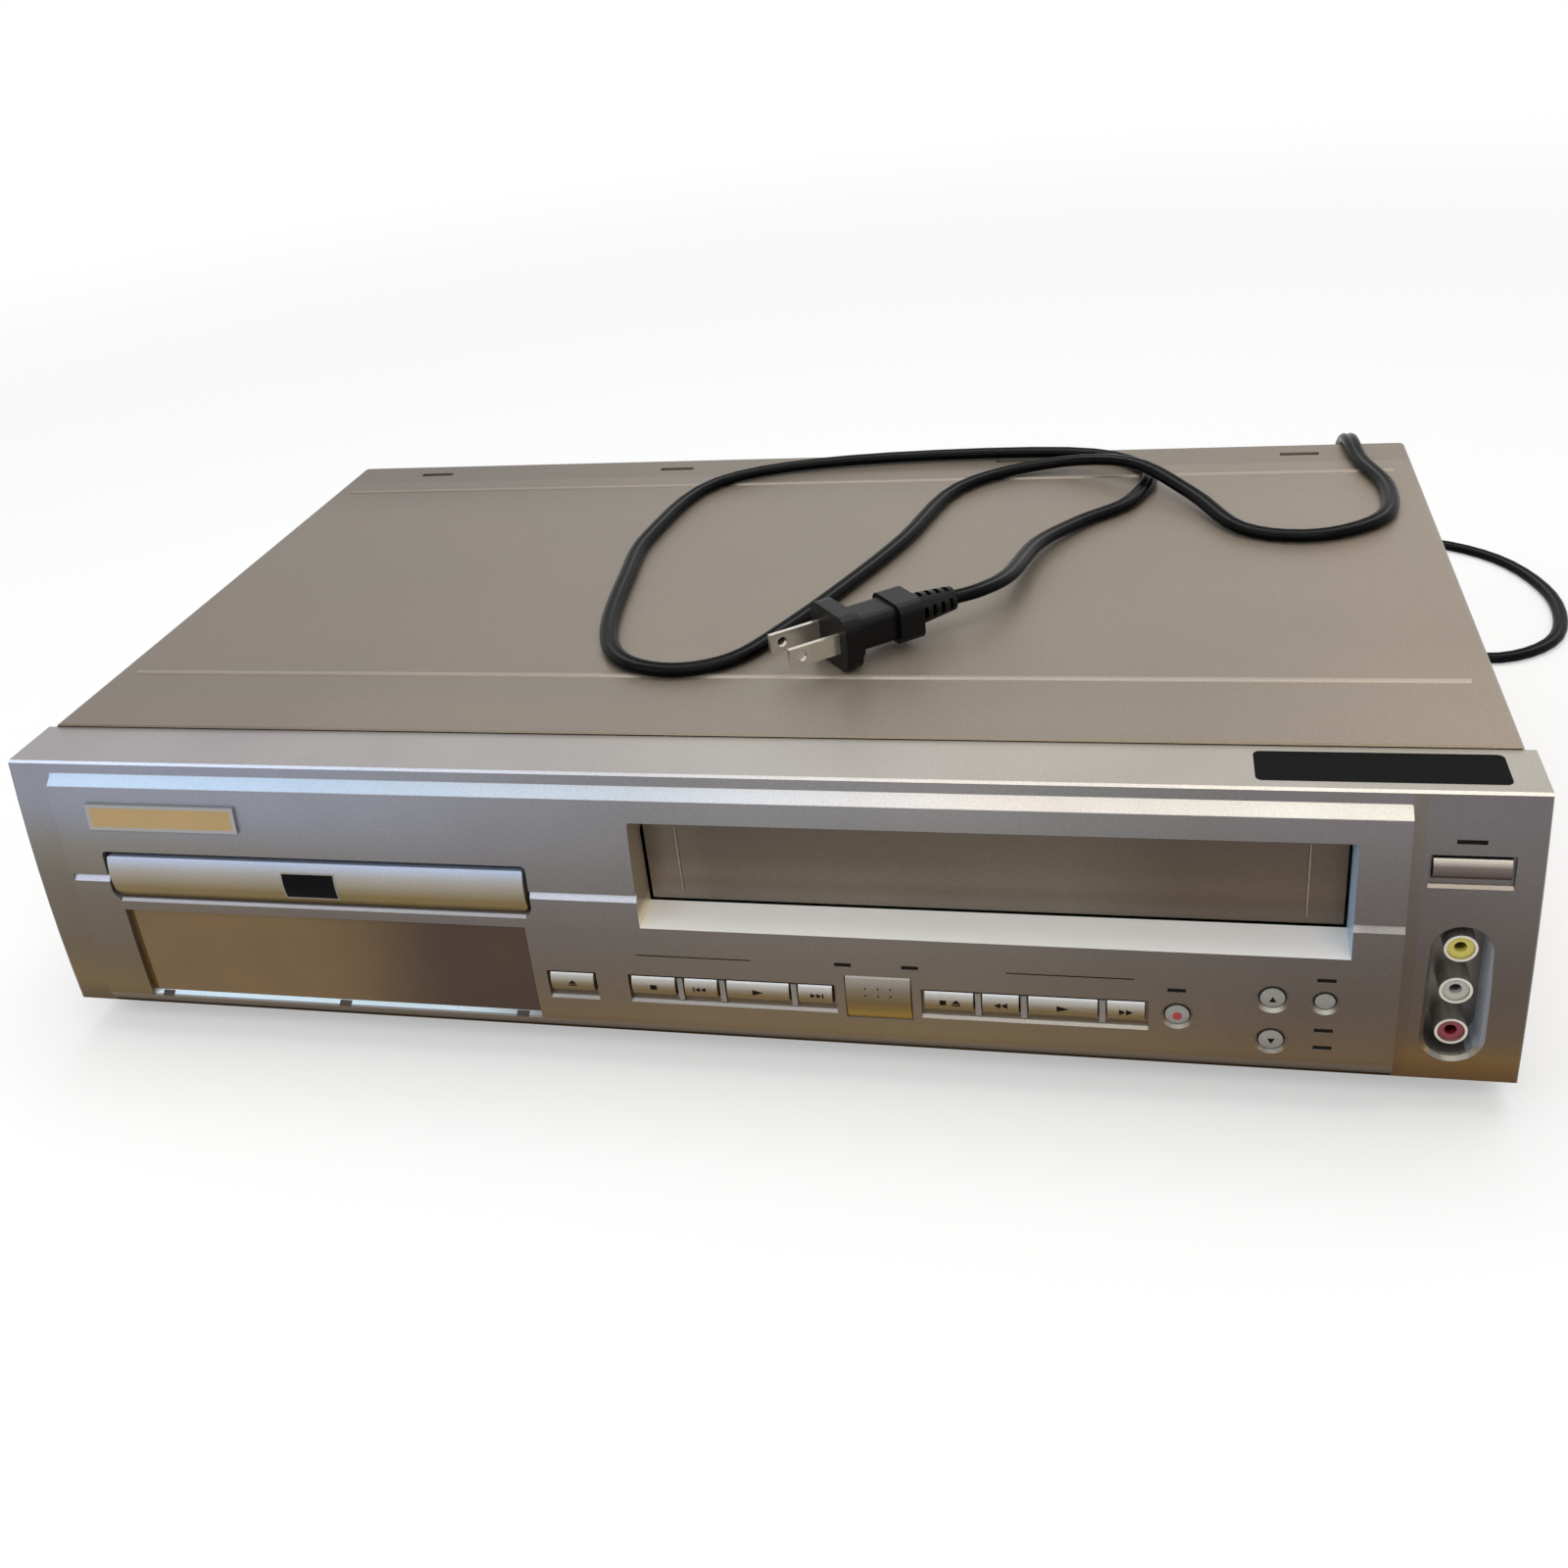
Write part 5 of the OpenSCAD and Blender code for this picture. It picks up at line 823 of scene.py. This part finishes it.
CORD_STEPS = 5                  # rings between two points of the route
EDGE_STEPS = 8                  # on each half-round edge
GROOVE_DEEP = 0.72              # share of the half thickness left at the middle
GROOVE_SIDE = (0.7, 0.97)       # the groove's side: mm from the middle, and that share there


def smooth_route(points, steps):
    """A smooth curve through the points, in metres."""
    p = [Vector(q) * MM for q in points]
    out = []
    for i in range(len(p) - 1):
        a, b, c, d = p[max(i - 1, 0)], p[i], p[i + 1], p[min(i + 2, len(p) - 1)]
        for k in range(steps):
            t = k / steps
            out.append(0.5 * (2 * b + (c - a) * t + (2 * a - 5 * b + 4 * c - d) * t * t
                              + (3 * b - a - 3 * c + d) * t ** 3))
    return out + [p[-1]]


def lead_profile():
    """Half-round edges and a shallow groove along the middle of each flat side."""
    w, t = CORD_WIDTH / 2, CORD_THICK / 2
    right = [(w - t + t * math.sin(a), t * math.cos(a))
             for a in (math.pi * k / EDGE_STEPS for k in range(EDGE_STEPS + 1))]
    left = [(-x, y) for x, y in reversed(right)]
    x, deep, side = GROOVE_SIDE[0], GROOVE_DEEP * t, GROOVE_SIDE[1] * t
    return ([(0, deep), (x, side)] + right + [(x, -side), (0, -deep), (-x, -side)] + left
            + [(-x, side)])


def make_cord():
    """The mains lead as one swept solid, which stands for the CAD's cord."""
    vinyl = Finish("cord_vinyl", (4, 4, 5), rough=0.22, grain=700, speckle=0.15, bump=0.02,
                   specular=0.06)
    line = smooth_route(ROUTE, CORD_STEPS)
    profile = lead_profile()
    bm = bmesh.new()
    rings = []
    for i, p in enumerate(line):
        along = (line[min(i + 1, len(line) - 1)] - line[max(i - 1, 0)]).normalized()
        side = Vector((along.y, -along.x, 0)).normalized()
        up = side.cross(along)
        rings.append([bm.verts.new(p + side * x * MM + up * y * MM) for x, y in profile])
    n = len(profile)
    for a, b in zip(rings, rings[1:]):
        for k in range(n):
            j = (k + 1) % n
            bm.faces.new((a[k], a[j], b[j], b[k])).smooth = True
    for ring in (rings[0], rings[-1]):
        bm.faces.new(ring)
    cord = to_object("mains_cord", bm, vinyl.material, "chassis")
    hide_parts("power_cord")


# ---------------------------------------------------------------- stage and light
LIT = Vector((0, 0, 0.05))      # the lamps point here


def lamp(name, at, size, watts, colour=(1, 1, 1)):
    data = bpy.data.lights.new(name, "AREA")
    data.shape = "RECTANGLE"
    data.size, data.size_y = size
    data.energy = watts
    data.color = colour
    light = bpy.data.objects.new(name, data)
    light.location = at
    light.rotation_euler = (LIT - Vector(at)).to_track_quat("-Z", "Y").to_euler()
    bpy.context.scene.collection.objects.link(light)


def background_rays(tree):
    """1 for rays that see the room: from the camera, or by gloss or through glass."""
    path = tree.nodes.new("ShaderNodeLightPath")
    out = path.outputs["Is Camera Ray"]
    for name in ("Is Glossy Ray", "Is Transmission Ray"):
        node = tree.nodes.new("ShaderNodeMath")
        node.operation = "MAXIMUM"
        tree.links.new(out, node.inputs[0])
        tree.links.new(path.outputs[name], node.inputs[1])
        out = node.outputs[0]
    return out


def map_range(tree, value, low, high, to_low, to_high, smooth=False):
    node = tree.nodes.new("ShaderNodeMapRange")
    node.interpolation_type = "SMOOTHSTEP" if smooth else "LINEAR"
    node.inputs["From Min"].default_value = low
    node.inputs["From Max"].default_value = high
    for name, end in (("To Min", to_low), ("To Max", to_high)):
        if isinstance(end, (int, float)):
            node.inputs[name].default_value = end
        else:
            tree.links.new(end, node.inputs[name])
    tree.links.new(value, node.inputs["Value"])
    return node.outputs[0]


FLOOR_SIDES, FLOOR_RADIUS = 96, 14      # radius in metres
FLOOR_PALE = 0.6                # how pale the floor is
FLOOR_LIFT = 0.40               # added where the room is seen, so that the lit floor is white
FADE = (0.55, 1.6)              # the floor turns into plain white over this radius, metres
SKY = (0.22, 0.62)              # the room's soft light at the horizon and overhead


def make_floor():
    """A pale disc that turns into plain white away from the object."""
    bm = bmesh.new()
    bmesh.ops.create_circle(bm, cap_ends=True, segments=FLOOR_SIDES, radius=FLOOR_RADIUS)
    mesh = bpy.data.meshes.new("floor")
    bm.to_mesh(mesh)
    bm.free()
    floor = bpy.data.objects.new("floor", mesh)
    pale = bpy.data.materials.new("floor")
    pale.use_nodes = True
    tree = pale.node_tree
    shader = tree.nodes["Principled BSDF"]
    shader.inputs["Base Color"].default_value = (FLOOR_PALE, FLOOR_PALE, FLOOR_PALE, 1)
    shader.inputs["Roughness"].default_value = 0.9
    shader.inputs["Specular IOR Level"].default_value = 0.1
    seen = background_rays(tree)
    place = tree.nodes.new("ShaderNodeTexCoord")
    radius = tree.nodes.new("ShaderNodeVectorMath")
    radius.operation = "LENGTH"
    tree.links.new(place.outputs["Object"], radius.inputs[0])
    far = map_range(tree, radius.outputs["Value"], *FADE, 0, seen, smooth=True)
    lift = tree.nodes.new("ShaderNodeEmission")
    tree.links.new(map_range(tree, seen, 0, 1, 0, FLOOR_LIFT), lift.inputs["Strength"])
    lifted = tree.nodes.new("ShaderNodeAddShader")
    tree.links.new(shader.outputs[0], lifted.inputs[0])
    tree.links.new(lift.outputs[0], lifted.inputs[1])
    blend = tree.nodes.new("ShaderNodeMixShader")
    tree.links.new(far, blend.inputs[0])
    tree.links.new(lifted.outputs[0], blend.inputs[1])
    tree.links.new(tree.nodes.new("ShaderNodeEmission").outputs[0], blend.inputs[2])
    tree.links.new(blend.outputs[0], tree.nodes["Material Output"].inputs["Surface"])
    mesh.materials.append(pale)
    bpy.context.scene.collection.objects.link(floor)


def make_room():
    """Soft light from all round, seen as plain white."""
    world = bpy.data.worlds.new("room")
    bpy.context.scene.world = world
    world.use_nodes = True
    tree = world.node_tree
    back = tree.nodes["Background"]
    place = tree.nodes.new("ShaderNodeTexCoord")
    height = tree.nodes.new("ShaderNodeSeparateXYZ")
    tree.links.new(place.outputs["Generated"], height.inputs[0])
    sky = map_range(tree, height.outputs[2], 0, 1, *SKY)
    tree.links.new(map_range(tree, background_rays(tree), 0, 1, sky, 1), back.inputs["Strength"])
    back.inputs["Color"].default_value = (1, 1, 1, 1)


def make_stage():
    make_floor()
    make_room()
    lamp("overhead", (0.1, 0.25, 1.9), (1.6, 1.2), 15)
    lamp("front_cool", (-1.15, -1.25, 1.35), (1.3, 0.5), 6, (0.84, 0.93, 1.0))
    lamp("front_warm", (0.35, -1.3, 1.5), (1.5, 0.5), 8, (1.0, 0.95, 0.88))


bpy.context.scene.view_settings.view_transform = "Standard"
make_camera()
make_cord()
make_materials()
make_marks()
make_plates()
make_trim()
make_stage()
